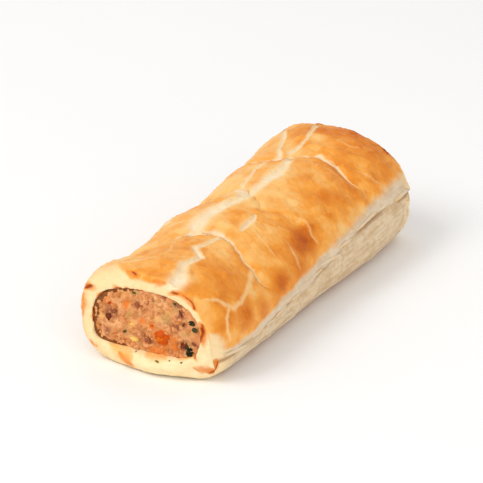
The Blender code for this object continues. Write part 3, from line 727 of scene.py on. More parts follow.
def make_groups():
    """The shared effects: blotches of bake or tone, ragged edges, and the crumb of dough or meat."""
    if "Blotches" in bpy.data.node_groups:
        return
    group, inputs, outputs = new_group("Blotches", (("Scale", 80.0), ("Fine Scale", 420.0), ("Fine Share", 0.35)), ("Value",))
    place = group.nodes.new("ShaderNodeTexCoord").outputs["Object"]
    broad = add_node(group, "ShaderNodeTexNoise", {"Vector": place, "Scale": inputs["Scale"], "Detail": 3.0, "Roughness": 0.55})
    fine = add_node(group, "ShaderNodeTexNoise", {"Vector": place, "Scale": inputs["Fine Scale"], "Detail": 2.0})
    both = add_node(group, "ShaderNodeMix", {0: inputs["Fine Share"], 2: broad.outputs[0], 3: fine.outputs[0]}, data_type="FLOAT")
    group.links.new(stretch(group, both.outputs[0], 0.3, 0.7, smooth=False), outputs["Value"])

    group, inputs, outputs = new_group(
        "Ragged Edge", (("Field", 0.0), ("Edge", 0.0), ("Softness", 0.4), ("Raggedness", 0.3), ("Scale", 900.0)), ("Mask",))
    place = group.nodes.new("ShaderNodeTexCoord").outputs["Object"]
    grain = add_node(group, "ShaderNodeTexNoise", {"Vector": place, "Scale": inputs["Scale"], "Detail": 3.0})
    shift = sums(group, "MULTIPLY", sums(group, "SUBTRACT", grain.outputs[0], 0.5), inputs["Raggedness"])
    moved = sums(group, "SUBTRACT", sums(group, "ADD", inputs["Field"], shift), inputs["Edge"])
    half = sums(group, "MULTIPLY", inputs["Softness"], 0.5)
    low = sums(group, "MULTIPLY", half, -1.0)
    group.links.new(stretch(group, moved, low, half), outputs["Mask"])

    group, inputs, outputs = new_group("Facets", (("Scale", 260.0), ("Wobble", 0.002)), ("Value",))
    place = group.nodes.new("ShaderNodeTexCoord").outputs["Object"]
    drift = add_node(group, "ShaderNodeTexNoise", {"Vector": place, "Scale": 240.0, "Detail": 2.0}).outputs["Color"]
    shift = add_node(group, "ShaderNodeVectorMath", {0: drift, 1: (0.5, 0.5, 0.5)}, operation="SUBTRACT").outputs[0]
    shift = add_node(group, "ShaderNodeVectorMath", {0: shift, "Scale": inputs["Wobble"]}, operation="SCALE").outputs[0]
    moved = add_node(group, "ShaderNodeVectorMath", {0: place, 1: shift}, operation="ADD").outputs[0]
    cells = add_node(group, "ShaderNodeTexVoronoi", {"Vector": moved, "Scale": inputs["Scale"], "Smoothness": 0.25}, feature="SMOOTH_F1")
    group.links.new(cells.outputs["Color"], outputs["Value"])

    group, inputs, outputs = new_group("Crumb", (("Scale", 900.0), ("Pits", 0.4)), ("Height", "Shade"))
    place = group.nodes.new("ShaderNodeTexCoord").outputs["Object"]
    grain = add_node(group, "ShaderNodeTexNoise", {"Vector": place, "Scale": inputs["Scale"], "Detail": 5.0, "Roughness": 0.6})
    cells = add_node(group, "ShaderNodeTexVoronoi", {"Vector": place, "Scale": inputs["Scale"]}, feature="SMOOTH_F1")
    pits = sums(group, "MULTIPLY", stretch(group, cells.outputs["Distance"], 0.1, 0.6), inputs["Pits"])
    group.links.new(sums(group, "SUBTRACT", grain.outputs[0], pits), outputs["Height"])
    group.links.new(stretch(group, cells.outputs["Distance"], 0.15, 0.7), outputs["Shade"])


def new_material(name, specular=0.5, subsurface=0.0, radius=(0.0, 0.0, 0.0), coat_roughness=0.2):
    """A material with its Principled shader and the settings that stay the same all over."""
    finish = bpy.data.materials.new(name)
    finish.use_nodes = True
    shader = finish.node_tree.nodes["Principled BSDF"]
    shader.inputs["Specular IOR Level"].default_value = specular
    shader.inputs["Subsurface Weight"].default_value = subsurface
    shader.inputs["Subsurface Radius"].default_value = radius
    shader.inputs["Subsurface Scale"].default_value = 1.0
    shader.inputs["Coat Roughness"].default_value = coat_roughness
    return finish, finish.node_tree, shader


def bump(tree, shader, height, strength, distance):
    """Feed a height through a Bump node into the shader's normal."""
    item = add_node(tree, "ShaderNodeBump", {"Height": height, "Strength": strength, "Distance": distance})
    tree.links.new(item.outputs[0], shader.inputs["Normal"])


def solid(colour):
    """A colour property as the four numbers that a colour socket takes."""
    return (*colour, 1.0)


def pastry_material(paint):
    """Puff pastry: egg glaze baked light to deep, pale torn dough, cream cut edges, singed spots and juice."""
    finish, tree, shader = new_material("puff_pastry", 0.16, 0.10, (0.0020, 0.0011, 0.0006), 0.3)
    mottle = place_group(tree, "Blotches", **{"Scale": 130.0, "Fine Scale": 520.0, "Fine Share": 0.4})["Value"]
    clouds = place_group(tree, "Blotches", **{"Scale": 55.0, "Fine Scale": 210.0, "Fine Share": 0.45})["Value"]
    crumb = place_group(tree, "Crumb", **{"Scale": 1100.0, "Pits": 0.35})
    facets = place_group(tree, "Facets", **{"Scale": 230.0, "Wobble": 0.0035})["Value"]
    stripes = add_node(tree, "ShaderNodeTexNoise", {
        "Vector": add_node(tree, "ShaderNodeMapping", {
            "Vector": tree.nodes.new("ShaderNodeTexCoord").outputs["Object"], "Scale": (1.0, 0.07, 1.0)}).outputs[0],
        "Scale": 900.0, "Detail": 3.0}).outputs[0]

    # unglazed dough: pale tan leaves in streaks along the roll, whiter above the groove, browner underneath
    streaks = stretch(tree, sums(tree, "ADD", sums(tree, "MULTIPLY", mottle, 0.5), stripes), 0.45, 1.05)
    dough = blend_colour(tree, streaks, solid(paint.leaf_pale), solid(paint.leaf_tan))
    dough = blend_colour(tree, sums(tree, "MULTIPLY", field(tree, "strip"), 0.75), dough, solid(paint.leaf_white))
    dough = blend_colour(tree, stretch(tree, field(tree, "toast"), 0.0, 1.0), dough, solid(paint.base_brown))
    # how brown the glaze is: real bake, with some painted shade and painted light laid in
    glaze_depth = field(tree, "bake_light_and_shade")
    for tone, strength in ((clouds, 0.36), (mottle, 0.18), (facets, 0.34)):
        glaze_depth = sums(tree, "MULTIPLY_ADD", sums(tree, "SUBTRACT", tone, 0.5), strength, glaze_depth)
    glaze = blend_colour(tree, stretch(tree, glaze_depth, 0.0, 0.45, smooth=False), solid(paint.glaze_light), solid(paint.glaze_gold))
    glaze = blend_colour(tree, stretch(tree, glaze_depth, 0.4, 0.95, smooth=False), glaze, solid(paint.glaze_deep))
    glaze = blend_colour(tree, stretch(tree, glaze_depth, 0.9, 1.5, smooth=False), glaze, solid(paint.glaze_brown))
    glazed = place_group(tree, "Ragged Edge", Field=field(tree, "glaze"), Edge=0.5, Softness=0.9, Raggedness=0.6, Scale=420.0)["Mask"]
    cream = blend_colour(tree, mottle, solid(paint.cream), solid(paint.cream_warm))
    cream = blend_colour(tree, sums(tree, "MULTIPLY", field(tree, "warm"), 0.75), cream, solid(paint.cream_tan))
    colour = blend_colour(tree, field(tree, "cut"), dough, cream)
    colour = blend_colour(tree, glazed, colour, glaze)
    torn = place_group(tree, "Ragged Edge", Field=field(tree, "torn"), Edge=0.05, Softness=1.3, Raggedness=0.5, Scale=600.0)["Mask"]
    halo = sums(tree, "MULTIPLY", stretch(tree, field(tree, "torn"), -1.3, 0.3), 0.5)
    edge = place_group(tree, "Ragged Edge", Field=field(tree, "edge"), Edge=-0.5, Softness=2.6, Raggedness=1.0, Scale=500.0)["Mask"]
    halo = sums(tree, "MAXIMUM", halo, sums(tree, "MULTIPLY", edge, 0.72))
    colour = blend_colour(tree, halo, colour, solid(paint.edge_pale))
    colour = blend_colour(tree, sums(tree, "MULTIPLY", torn, 0.92), colour,
                          blend_colour(tree, mottle, solid(paint.torn_pale), solid(paint.torn_gold)))
    # painted shade: darken the bottoms of the slashes and the seam groove, where shadow falls
    colour = blend_colour(tree, sums(tree, "MULTIPLY", field(tree, "crease_shade"), 0.45), colour, solid(paint.crease_shade))
    marks = (("juice", -0.9, 0.9, 1.2, 0.75, paint.juice), ("toasted", -1.1, 0.9, 1.5, 0.8, paint.toasted),
             ("singed", -2.2, 0.4, 0.8, 0.75, paint.toasted), ("singed", -0.2, 0.9, 0.6, 0.95, paint.singed))
    for name, low, high, raggedness, strength, tint in marks:
        mask = place_group(tree, "Ragged Edge", Field=field(tree, name), Edge=(low + high) / 2, Softness=high - low,
                           Raggedness=raggedness, Scale=560.0)["Mask"]
        colour = blend_colour(tree, sums(tree, "MULTIPLY", mask, strength), colour, solid(tint))
    tree.links.new(colour, shader.inputs["Base Color"])

    dull = sums(tree, "SUBTRACT", 1.0, sums(tree, "MULTIPLY", glazed, sums(tree, "SUBTRACT", 1.0, torn)))
    roughness = stretch(tree, sums(tree, "ADD", dull, sums(tree, "MULTIPLY", mottle, 0.25)), 0.0, 1.25, 0.42, 0.8, smooth=False)
    tree.links.new(roughness, shader.inputs["Roughness"])
    tree.links.new(stretch(tree, dull, 1.0, 0.0, 0.0, 0.08, smooth=False), shader.inputs["Coat Weight"])
    height = sums(tree, "ADD", crumb["Height"], sums(tree, "MULTIPLY", mottle, 1.2))
    height = sums(tree, "MULTIPLY_ADD", sums(tree, "MULTIPLY", facets, glazed), 1.6, height)
    height = sums(tree, "MULTIPLY_ADD", sums(tree, "MULTIPLY", stripes, field(tree, "leaf")), 1.3, height)
    bump(tree, shader, height, 0.35, 0.00035)
    return finish


def edge_field(skin):
    """Over 0 on the thin raised edges, less on the faint ones."""
    return np.maximum(route_field(EDGES, skin.across, skin.along, LENGTH),
                      route_field(FAINT_EDGES, skin.across, skin.along, LENGTH) - FAINTNESS)


def pastry_relief(skin, settings):
    """Fine relief of the skin and of the cut edges, in metres out along the normal."""
    outside = skin.depth == 0
    crown = clamp(along_route(((-20, 0.0), (5, 0.6), (25, 1.0), (150, 1.0), (185, 0.5), (200, 0.0)), skin.angle)) * outside
    swell = rough(skin.point, 0.014, 2) * 0.00045 + rough(skin.point + 5.0, 0.0055, 2) * 0.00022
    folds = np.array([noise.fractal(Vector((a / 0.010, b / 0.0075, 0.3)), 1.0, 2.0, 2)
                      for a, b in zip(skin.across + 0.35 * skin.along, skin.along)])
    wrinkles = clamp(1 - np.abs(rough(skin.point + 6.0, 0.011, 2)) / 0.11) ** 1.5
    swell = swell + folds * settings.fold_height + wrinkles * settings.wrinkle_height
    blister = np.maximum(0.0, rough(skin.point + 9.0, 0.0032, 2) - 0.25) * settings.blister_height
    torn = route_field(SPLITS, skin.across, skin.along, LENGTH)
    split = -SPLIT_DEPTH * ease(torn * 1.4) * outside
    edges = edge_field(skin)
    lift = crown * (SPLIT_LIFT * ease(1 - np.abs(torn + 0.35) / 0.8) + EDGE_LIFT * ease((edges + 0.8) / 1.4))
    fine = rough(skin.point + 3.0, 0.0012, 3) * 0.00009
    below = along_route(SEAM_ROUTE, skin.share) - skin.angle
    side = ease(below / 4.0) * outside * (skin.angle < 40) + ease((skin.angle - 186) / 8) * outside
    layer_place = skin.point[:, 2] + rough(skin.point * (1, 0.25, 1) + 1.0, 0.006, 2) * 0.0009
    steps = (layer_place / 0.0021) % 1.0
    leaves = side * (steps ** 2 - 0.4) * 0.00022
    rim = (skin.depth > 0) & (skin.depth < 1.5)
    torn_dough = rim * (rough(skin.point + 7.0, 0.0030, 3) * 0.00026 + rough(skin.point + 2.0, 0.0010, 2) * 0.00010)
    rings = rim * np.sin(skin.depth * 26 + rough(skin.point, 0.004, 2) * 2.2) * 0.00009
    return crown * (swell + blister) + split + lift + fine + leaves + torn_dough + rings


def write_pastry_fields(data, skin):
    """The numbers that the pastry's material reads at each point."""
    on_skin = skin.depth == 0
    glaze = glaze_field(skin)
    torn = np.maximum(route_field(SPLITS, skin.across, skin.along, LENGTH), band_field(skin) - 0.15)
    edges = edge_field(skin)
    bake_light_and_shade = 0.34 + 0.10 * rough(skin.point + 4.0, 0.016, 2)
    bake_light_and_shade += spot_field(BROWNED, skin.across, skin.along) - spot_field(PALER_AND_HIGHLIGHT, skin.across, skin.along)
    # browner along the right side: partly real bake, partly painted shade on the side turned away from the key light
    bake_light_and_shade += 0.13 * ease(1 - np.abs(skin.angle - 26) / 24) * ease(skin.share / 0.12)
    # browner on the near side of each slash: partly real browning of the rolled edge, partly painted shade where the
    # puff rolls down into the slash
    for slash in SLASHES:
        beyond = skin.along + NEAR_END - slash_place(slash, skin.angle)
        reach = along_route(SLASH_REACH, skin.angle) * slash_strength(slash, skin.angle)
        bake_light_and_shade += reach * 0.26 * np.where(beyond < 0, ease(1 + beyond / 0.007), 0.0)
    # paler towards the left shoulder: partly lighter bake, partly painted light on the side turned to the key light
    bake_light_and_shade -= 0.18 * ease((skin.angle - 105) / 45)
    low = np.minimum(skin.point[:, 2] / 0.004, 1.0)
    base = (1 - ease(low)) * on_skin
    spots = rough(skin.point + 8.0, 0.004, 3)
    rim = (skin.depth > 0) * ease(skin.depth / 0.12) * (skin.depth < 1.5)
    write_field(data, "glaze", np.where(skin.depth < 1.5, glaze, -2.0))
    write_field(data, "torn", np.where(on_skin | (skin.depth < 0.5), torn, -9.0))
    # browning of the glaze, with painted shade and painted light in some places
    write_field(data, "bake_light_and_shade", bake_light_and_shade)
    write_field(data, "edge", np.where(on_skin, edges, -9.0))
    write_field(data, "toast", clamp(base * (0.75 + 0.5 * spots) + 0.22 * clamp(spots - 0.1)))
    write_field(data, "cut", clamp(np.maximum(rim, 0.9 * ease(1 - np.minimum(skin.near, skin.far) / 0.009) * on_skin)))
    write_field(data, "leaf", clamp(1 - glaze) * on_skin)
    above = skin.angle - along_route(SEAM_ROUTE, skin.share)
    patchy = 0.75 + 0.5 * rough(skin.point * (1, 0.2, 1) + 5.0, 0.004, 2)
    strip = ease((above - 0.6) / 1.2) * mix(0.55, 1.0, ease(1 - above / 9.0)) * clamp(patchy)
    write_field(data, "strip", strip * (skin.angle < 60) * on_skin * ease((skin.share - 0.01) / 0.07))
    turned = np.where(skin.angle > 180, skin.angle - 360, skin.angle)
    write_field(data, "warm", along_route(WARM_RIM, turned) * mix(0.45, 1.0, ease(1 - skin.depth / 0.55)))
    # painted shade along the slash bottoms and the seam groove
    write_field(data, "crease_shade", crease_shade_field(skin))
    low_angle = np.where(skin.angle > 200, skin.angle - 360, skin.angle)
    for name, near, far in (("singed", SINGED_NEAR, SINGED_FAR), ("toasted", TOASTED_NEAR, TOASTED_FAR), ("juice", JUICE_NEAR, JUICE_FAR)):
        across = arc(low_angle) + (skin.across - arc(skin.angle))
        mark = np.maximum(route_field(near, across, skin.near, MM), route_field(near, skin.across, skin.near, MM))
        mark = np.maximum(mark, np.maximum(route_field(far, across, skin.far, MM), route_field(far, skin.across, skin.far, MM)))
        write_field(data, name, mark)


# ---------------------------------------------------------------- putting pieces into the scene
def add_piece(name, data, finish, replaced=None):
    """Put a finished mesh into the scene as a smooth piece that rides on the roll."""
    data.materials.append(finish)
    data.shade_smooth()
    item = bpy.data.objects.new(name, data)
    bpy.context.scene.collection.objects.link(item)
    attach(item, "root")
    if replaced:
        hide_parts(replaced)
    return item


def to_data(name, mesh):
    """Turn a bmesh into mesh data and free it."""
    data = bpy.data.meshes.new(name)
    mesh.to_mesh(data)
    mesh.free()
    return data


def face_point(end, angle, spread):
    """Points on the filling's cut face: spread is 0 in the middle and 1 at its edge."""
    base = NEAR_END if end == "near" else FAR_END - FAR_SKEW
    edge = bore_point(angle, np.full_like(angle, base), SEEN_GAP)
    edge[:, 0] += SHRINK_LEFT * clamp((MIDDLE_X - edge[:, 0]) / HALF_WIDTH_LEFT[0][1]) ** 2
    sides = bore_point(np.array([0.0, 180.0]), np.full(2, base), SEEN_GAP)
    middle = np.array([sides[:, 0].mean(), base, sides[:, 2].mean()])
    point = mix(middle, edge, np.asarray(spread)[:, None])
    point[:, 1] = base + (-1 if end == "near" else 1) * (FILLING_DOME * (1 - spread ** 2) - GAP)
    return point


FILLING_COLUMNS = 330
FILLING_CAP_ROWS = 56
FILLING_SIDE_ROWS = 6


def filling_rows():
    """The filling's rows, from the middle of the near face over the sides to the middle of the far one."""
    angle = np.linspace(0, 360, FILLING_COLUMNS, endpoint=False)
    rows = []
    for step in range(FILLING_CAP_ROWS + 1):
        spread = np.full_like(angle, step / FILLING_CAP_ROWS)
        rows.append((face_point("near", angle, spread), angle, spread))
    for step in range(1, FILLING_SIDE_ROWS):
        place = mix(NEAR_END, FAR_END - FAR_SKEW, step / FILLING_SIDE_ROWS)
        side = bore_point(angle, np.full_like(angle, place), SEEN_GAP)
        side[:, 0] += SHRINK_LEFT * clamp((MIDDLE_X - side[:, 0]) / HALF_WIDTH_LEFT[0][1]) ** 2
        rows.append((side, angle, np.full_like(angle, 1.5)))
    for step in range(FILLING_CAP_ROWS, -1, -1):
        spread = np.full_like(angle, step / FILLING_CAP_ROWS)
        rows.append((face_point("far", angle, spread), angle, spread))
    return rows


def rolled_grid(rows):
    """A grid wrapped round once, closed at both ends in a middle point."""
    columns = len(rows[0][1])
    mesh = bmesh.new()
    bmesh.ops.create_grid(mesh, x_segments=columns, y_segments=len(rows) - 1, size=1.0)
    depth_layer = mesh.verts.layers.float.new("spread")
    for vertex in mesh.verts:
        column = round((vertex.co.x + 1) / 2 * columns) % columns
        points, _, spreads = rows[round((vertex.co.y + 1) / 2 * (len(rows) - 1))]
        vertex.co = points[column]
        vertex[depth_layer] = spreads[column]
    bmesh.ops.remove_doubles(mesh, verts=mesh.verts, dist=WELD)
    bmesh.ops.recalc_face_normals(mesh, faces=mesh.faces)
    return mesh


def mince_height(point):
    """How high the coarse mince stands at a point of a cut face, in metres."""
    place = Vector(point)
    lumps = noise.voronoi(place / 0.0026)[0]
    small = noise.voronoi(place / 0.0011 + Vector((3, 3, 3)))[0]
    height = (0.55 - lumps[0]) * 0.0009 + (0.5 - small[0]) * 0.0002
    return height + noise.fractal(place / 0.007, 1.0, 2.0, 2) * 0.0005


def filling_material(paint):
    """Cooked seasoned mince: pinkish brown with paler fat, soft stains round its bits, browner where it left the wall."""
    finish, tree, shader = new_material("cooked_mince", 0.3, 0.10, (0.0018, 0.0008, 0.0004), 0.3)
    tone = place_group(tree, "Blotches", **{"Scale": 300.0, "Fine Scale": 700.0, "Fine Share": 0.35})["Value"]
    patch = place_group(tree, "Blotches", **{"Scale": 170.0, "Fine Scale": 520.0, "Fine Share": 0.35})["Value"]
    lumps = place_group(tree, "Facets", **{"Scale": 430.0, "Wobble": 0.0026})["Value"]
    crumb = place_group(tree, "Crumb", **{"Scale": 900.0, "Pits": 0.5})
    colour = blend_colour(tree, stretch(tree, tone, 0.15, 0.85), solid(paint.meat_brown), solid(paint.meat_pink))
    colour = blend_colour(tree, sums(tree, "MULTIPLY", stretch(tree, patch, 0.35, 0.95), 0.7), colour, solid(paint.meat_pale))
    colour = blend_colour(tree, sums(tree, "MULTIPLY", stretch(tree, lumps, 0.62, 0.8), 0.5), colour, solid(paint.meat_gold))
    colour = blend_colour(tree, sums(tree, "MULTIPLY", stretch(tree, lumps, 0.42, 0.2), 0.55), colour, solid(paint.meat_red))
    for name, strength in (("golden", 0.55), ("olive", 0.5), ("plum", 0.8), ("stained", 0.85)):
        mask = place_group(tree, "Ragged Edge", Field=field(tree, name), Edge=0.32, Softness=0.75, Raggedness=0.8, Scale=480.0)["Mask"]
        colour = blend_colour(tree, sums(tree, "MULTIPLY", mask, strength), colour, solid(getattr(paint, name)))
    # painted shade: the mince is darkened where its surface lies low, between the lumps
    colour = blend_colour(tree, stretch(tree, field(tree, "hollow_shade"), 0.0, 1.0, 0.0, 0.6), colour, solid(paint.meat_hollow_shade))
    browned = place_group(tree, "Ragged Edge", Field=field(tree, "browned"), Edge=0.45, Softness=0.6, Raggedness=1.1, Scale=520.0)["Mask"]
    colour = blend_colour(tree, browned, colour, blend_colour(tree, tone, solid(paint.meat_edge), solid(paint.edge_light)))
    tree.links.new(colour, shader.inputs["Base Color"])
    tree.links.new(stretch(tree, tone, 0.0, 1.0, 0.64, 0.44, smooth=False), shader.inputs["Roughness"])
    bump(tree, shader, sums(tree, "MULTIPLY_ADD", lumps, 1.0, crumb["Height"]), 0.28, 0.0004)
    return finish


# ---------------------------------------------------------------- bits
def add_lump(mesh, place, size, turn, seed, fine, layer=None, tone=0.0, squareness=0.0, roughness=0.3):
    """Add one small irregular lump: a ball pushed out of round by noise and drawn towards a cube."""
    if fine:
        made = bmesh.ops.create_icosphere(mesh, subdivisions=3, radius=1.0)["verts"]
    else:
        made = bmesh.ops.create_uvsphere(mesh, u_segments=7, v_segments=5, radius=1.0)["verts"]
    shift = Vector((seed * 1.7, seed * 2.3, seed * 0.9))
    matrix = Matrix.Translation(place) @ turn @ Matrix.Diagonal((*size, 1.0))
    for vertex in made:
        co = vertex.co.copy()
        if squareness:
            co = co.lerp(co / max(abs(c) for c in co), squareness)
        co *= 1 + roughness * (noise.noise(co * 1.3 + shift) + 0.55 * noise.noise(co * 3.4 + shift))
        vertex.co = matrix @ co
        if layer is not None:
            vertex[layer] = tone


def spin_of(seed):
    """A steady turn for a lump from its number."""
    return (Matrix.Rotation(seed * 2.4, 4, "X") @ Matrix.Rotation(seed * 1.1, 4, "Y") @ Matrix.Rotation(seed * 3.7, 4, "Z"))


def scatter(seed, count):
    """Steady numbers from 0 to 1, three for each of a count of things."""
    return np.random.RandomState(seed).rand(count, 3)


def bit_material(name, first, second, roughness, scale=700.0, subsurface=0.05):
    """A mottled material for small bits, between two colours by each bit's own tone and by noise."""
    finish, tree, shader = new_material(name, 0.12, subsurface, (0.0010, 0.0005, 0.0002), 0.25)
    spots = place_group(tree, "Blotches", **{"Scale": scale, "Fine Scale": scale * 2.5, "Fine Share": 0.4})["Value"]
    crumb = place_group(tree, "Crumb", **{"Scale": 1500.0, "Pits": 0.5})
    share = sums(tree, "ADD", field(tree, "tone"), sums(tree, "MULTIPLY", sums(tree, "SUBTRACT", spots, 0.5), 0.6))
    colour = blend_colour(tree, stretch(tree, share, 0.0, 1.0, smooth=False), solid(first), solid(second))
    tree.links.new(colour, shader.inputs["Base Color"])
    tree.links.new(stretch(tree, spots, 0.0, 1.0, roughness + 0.08, roughness - 0.08, smooth=False), shader.inputs["Roughness"])
    bump(tree, shader, crumb["Height"], 0.4, 0.0003)
    return finish


def face_depth(x, z, end="near"):
    """Where the filling's cut face lies along Y at a place across it."""
    base = NEAR_END if end == "near" else FAR_END - FAR_SKEW
    right, left = bore_point(np.array([0.0, 180.0]), np.full(2, base), SEEN_GAP)
    spread = min(1.0, math.hypot((x - (right[0] + left[0]) / 2) / ((right[0] - left[0]) / 2), (z - right[2]) / 0.0105))
    return base + (-1 if end == "near" else 1) * (FILLING_DOME * (1 - spread ** 2) - GAP)


def add_bits(mesh, bits, end, layer, thickness, squareness, sink, seed, roughness=0.5):
    """Set listed bits into a cut face."""
    outwards = -1 if end == "near" else 1
    for number, (x, z, width, height, *light) in enumerate(bits):
        x, z = x * MM, (z if end == "near" else FAR_FLIP - z) * MM
        size = (width / 2 * MM, thickness * MM, height / 2 * MM)
        place = Vector((x, face_depth(x, z, end) + outwards * (0.0004 - sink * MM + 0.0004 * (sum(light) > 1)), z))
        turn = Matrix.Rotation(math.sin(number * 2.1 + seed) * 0.5, 4, "Y")
        tone = light[0] if light else 0.5 + 0.5 * math.sin(number * 1.9 + seed)
        add_lump(mesh, place, size, turn, number + seed, True, layer, tone, squareness, roughness)


# ---------------------------------------------------------------- flakes
def skin_frame(angle, y):
    """A point on the skin, and which way the roll runs there, and which way is out."""
    places = skin_point(np.array([angle, angle + 0.6, angle]), np.array([y, y, y + 0.0004]))
    here, round_it, along = (Vector(place) for place in places)
    along = (along - here).normalized()
    return here, along, along.cross(round_it - here).normalized()


def add_leaf(mesh, layers, frame, size, raised, lifted, seed, tone, burn, turn=0.0):
    """Add one thin ragged leaf of pastry: a small sheet drawn to a point at both ends and curled at one edge."""
    here, along, out = frame
    along = Matrix.Rotation(turn, 3, out) @ along
    side = out.cross(along)
    made = bmesh.ops.create_grid(mesh, x_segments=6, y_segments=2, size=1.0)["verts"]
    for vertex in made:
        u, v = vertex.co.x, vertex.co.y
        reach = math.sqrt(max(0.02, 1 - 0.9 * u * u)) * (1 + 0.5 * noise.noise(Vector((u * 2.2 + seed, v * 0.7, seed * 1.3))))
        height = raised + lifted * ((1 - v) / 2) ** 2 * (1 + 0.6 * noise.noise(Vector((u * 1.6, seed, 0.0)))) - 0.0001 * u * u
        vertex.co = here + along * (u * size[0] / 2) + side * (v * reach * size[1] / 2) + out * height
        vertex[layers[0]] = clamp(tone + 0.3 * u * math.sin(seed))
        vertex[layers[1]] = burn * (0.4 + 0.6 * (1 - v) / 2)


def flake_material(paint):
    """Thin leaves of pastry, pale to golden, singed at some tips."""
    finish, tree, shader = new_material("pastry_flake", 0.2, 0.12, (0.0018, 0.0010, 0.0005), 0.3)
    mottle = place_group(tree, "Blotches", **{"Scale": 420.0, "Fine Scale": 1300.0, "Fine Share": 0.4})["Value"]
    crumb = place_group(tree, "Crumb", **{"Scale": 1600.0, "Pits": 0.4})
    share = sums(tree, "MULTIPLY_ADD", sums(tree, "SUBTRACT", mottle, 0.5), 0.5, field(tree, "tone"))
    colour = blend_colour(tree, stretch(tree, share, 0.0, 0.6), solid(paint.leaf_pale), solid(paint.glaze_light))
    colour = blend_colour(tree, stretch(tree, share, 0.5, 1.0), colour, solid(paint.glaze_gold))
    colour = blend_colour(tree, stretch(tree, field(tree, "burn"), 0.1, 0.5), colour, solid(paint.toasted))
    colour = blend_colour(tree, stretch(tree, field(tree, "burn"), 0.5, 0.95), colour, solid(paint.singed))
    tree.links.new(colour, shader.inputs["Base Color"])
    tree.links.new(stretch(tree, mottle, 0.0, 1.0, 0.7, 0.5, smooth=False), shader.inputs["Roughness"])
    bump(tree, shader, crumb["Height"], 0.35, 0.0002)
    return finish


# ---------------------------------------------------------------- settings
def colour_setting(name, description, red, green, blue):
    """A colour property with a display colour as its default."""
    return FloatVectorProperty(name=name, description=description, subtype="COLOR", size=3, min=0.0, max=1.0,
                               default=display(red, green, blue))


class PastrySettings(bpy.types.PropertyGroup):
    fold_height: FloatProperty(name="Fold height", description="How high the soft folds of the crown stand",
                               default=0.00034, min=0.0, max=0.001, unit="LENGTH")
    wrinkle_height: FloatProperty(name="Wrinkle height", description="How high the thin wrinkles of the crown stand",
                                  default=0.00018, min=0.0, max=0.001, unit="LENGTH")
    flake_thickness: FloatProperty(name="Flake thickness", description="How thick the loose leaves are",
                                   default=0.00016, min=0.00005, max=0.001, unit="LENGTH")
    blister_height: FloatProperty(name="Blister height", description="How high the small blisters of the glaze stand",
                                  default=0.0008, min=0.0, max=0.003, unit="LENGTH")
    glaze_light: colour_setting("Light glaze", "Egg glaze where it is thin and lightly baked", 248, 194, 116)
    glaze_gold: colour_setting("Golden glaze", "Egg glaze over most of the crown", 242, 160, 60)
    glaze_deep: colour_setting("Deep glaze", "Egg glaze where it is well baked", 216, 116, 10)
    glaze_brown: colour_setting("Brown glaze", "Egg glaze where it is browned", 176, 72, 0)
    leaf_pale: colour_setting("Pale leaves", "Unglazed leaves of the sides, pale", 232, 208, 174)
    leaf_tan: colour_setting("Tan leaves", "Unglazed leaves of the sides, tan", 208, 178, 138)
    base_brown: colour_setting("Base brown", "The baked underside", 196, 140, 78)
    cream: colour_setting("Cream", "Soft dough at the cuts", 252, 232, 186)
    cream_warm: colour_setting("Warm cream", "Soft dough at the cuts, warmer", 248, 218, 164)
    torn_pale: colour_setting("Torn dough", "Pale dough in the slashes and splits", 244, 228, 198)
    torn_gold: colour_setting("Torn dough, golden", "Dough in the slashes and splits, lightly baked", 242, 210, 160)
    # painted shade for the bottoms of the slashes and the seam groove
    crease_shade: colour_setting("Crease shade", "The bottom of the creases", 150, 100, 52)
    juice: colour_setting("Juice", "Orange juice on the lip", 246, 172, 76)
    edge_pale: colour_setting("Pale edges", "Thin raised edges of the glazed leaf", 248, 206, 142)
    leaf_white: colour_setting("White strip", "The strip of bare dough above the groove", 222, 204, 182)
    cream_tan: colour_setting("Tan cream", "Soft dough at the cuts, near the skin", 240, 186, 116)
    toasted: colour_setting("Toasted", "Toasted edges and patches", 228, 126, 32)
    singed: colour_setting("Singed", "Singed edges and spots", 146, 48, 0)


class FillingSettings(bpy.types.PropertyGroup):
    meat_pink: colour_setting("Pink meat", "Cooked mince, pinkish", 230, 160, 104)
    meat_brown: colour_setting("Brown meat", "Cooked mince, brown", 204, 130, 70)
    meat_pale: colour_setting("Pale meat", "Paler fat in the mince", 242, 190, 130)
    # painted shade for the low places between the lumps of mince
    meat_hollow_shade: colour_setting("Hollow shade", "Hollows between the lumps", 156, 92, 48)
    meat_edge: colour_setting("Browned edge", "The mince's edge under the pastry", 92, 42, 0)
    meat_gold: colour_setting("Golden meat", "Golden lumps in the mince", 234, 176, 100)
    meat_red: colour_setting("Red meat", "Redder lumps in the mince", 208, 118, 62)
    edge_light: colour_setting("Lighter browned edge", "The browned edge's lighter places", 150, 84, 18)
    stained: colour_setting("Orange stain", "Orange juice round the carrot", 226, 118, 22)
    plum: colour_setting("Plum stain", "Purple juice round the red onion", 132, 72, 50)
    golden: colour_setting("Golden stain", "Golden juice round the golden onion", 232, 176, 92)
    olive: colour_setting("Olive stain", "Green juice round the herbs", 172, 142, 74)
    crumb_count: IntProperty(name="Crumbs", description="Crumbs of mince standing out of each cut face", default=280, min=0, max=900)
    crumb_size: FloatProperty(name="Crumb size", description="Half width of the middling crumbs", default=0.00062,
                              min=0.0002, max=0.002, unit="LENGTH")


class BitSettings(bpy.types.PropertyGroup):
    carrot: colour_setting("Carrot", "Diced carrot", 188, 62, 0)
    carrot_light: colour_setting("Light carrot", "Diced carrot, lighter", 226, 110, 6)
    onion: colour_setting("Red onion", "Cooked red onion", 108, 44, 20)
    onion_light: colour_setting("Light red onion", "Cooked red onion, lighter", 168, 96, 64)
    herb: colour_setting("Herb", "Dark chopped herb", 24, 28, 10)
    herb_light: colour_setting("Light herb", "Chopped herb, lighter", 128, 124, 66)
    onion_gold: colour_setting("Golden onion", "Soft golden onion", 238, 172, 66)
    onion_gold_light: colour_setting("Light golden onion", "Soft golden onion, lighter", 248, 200, 110)


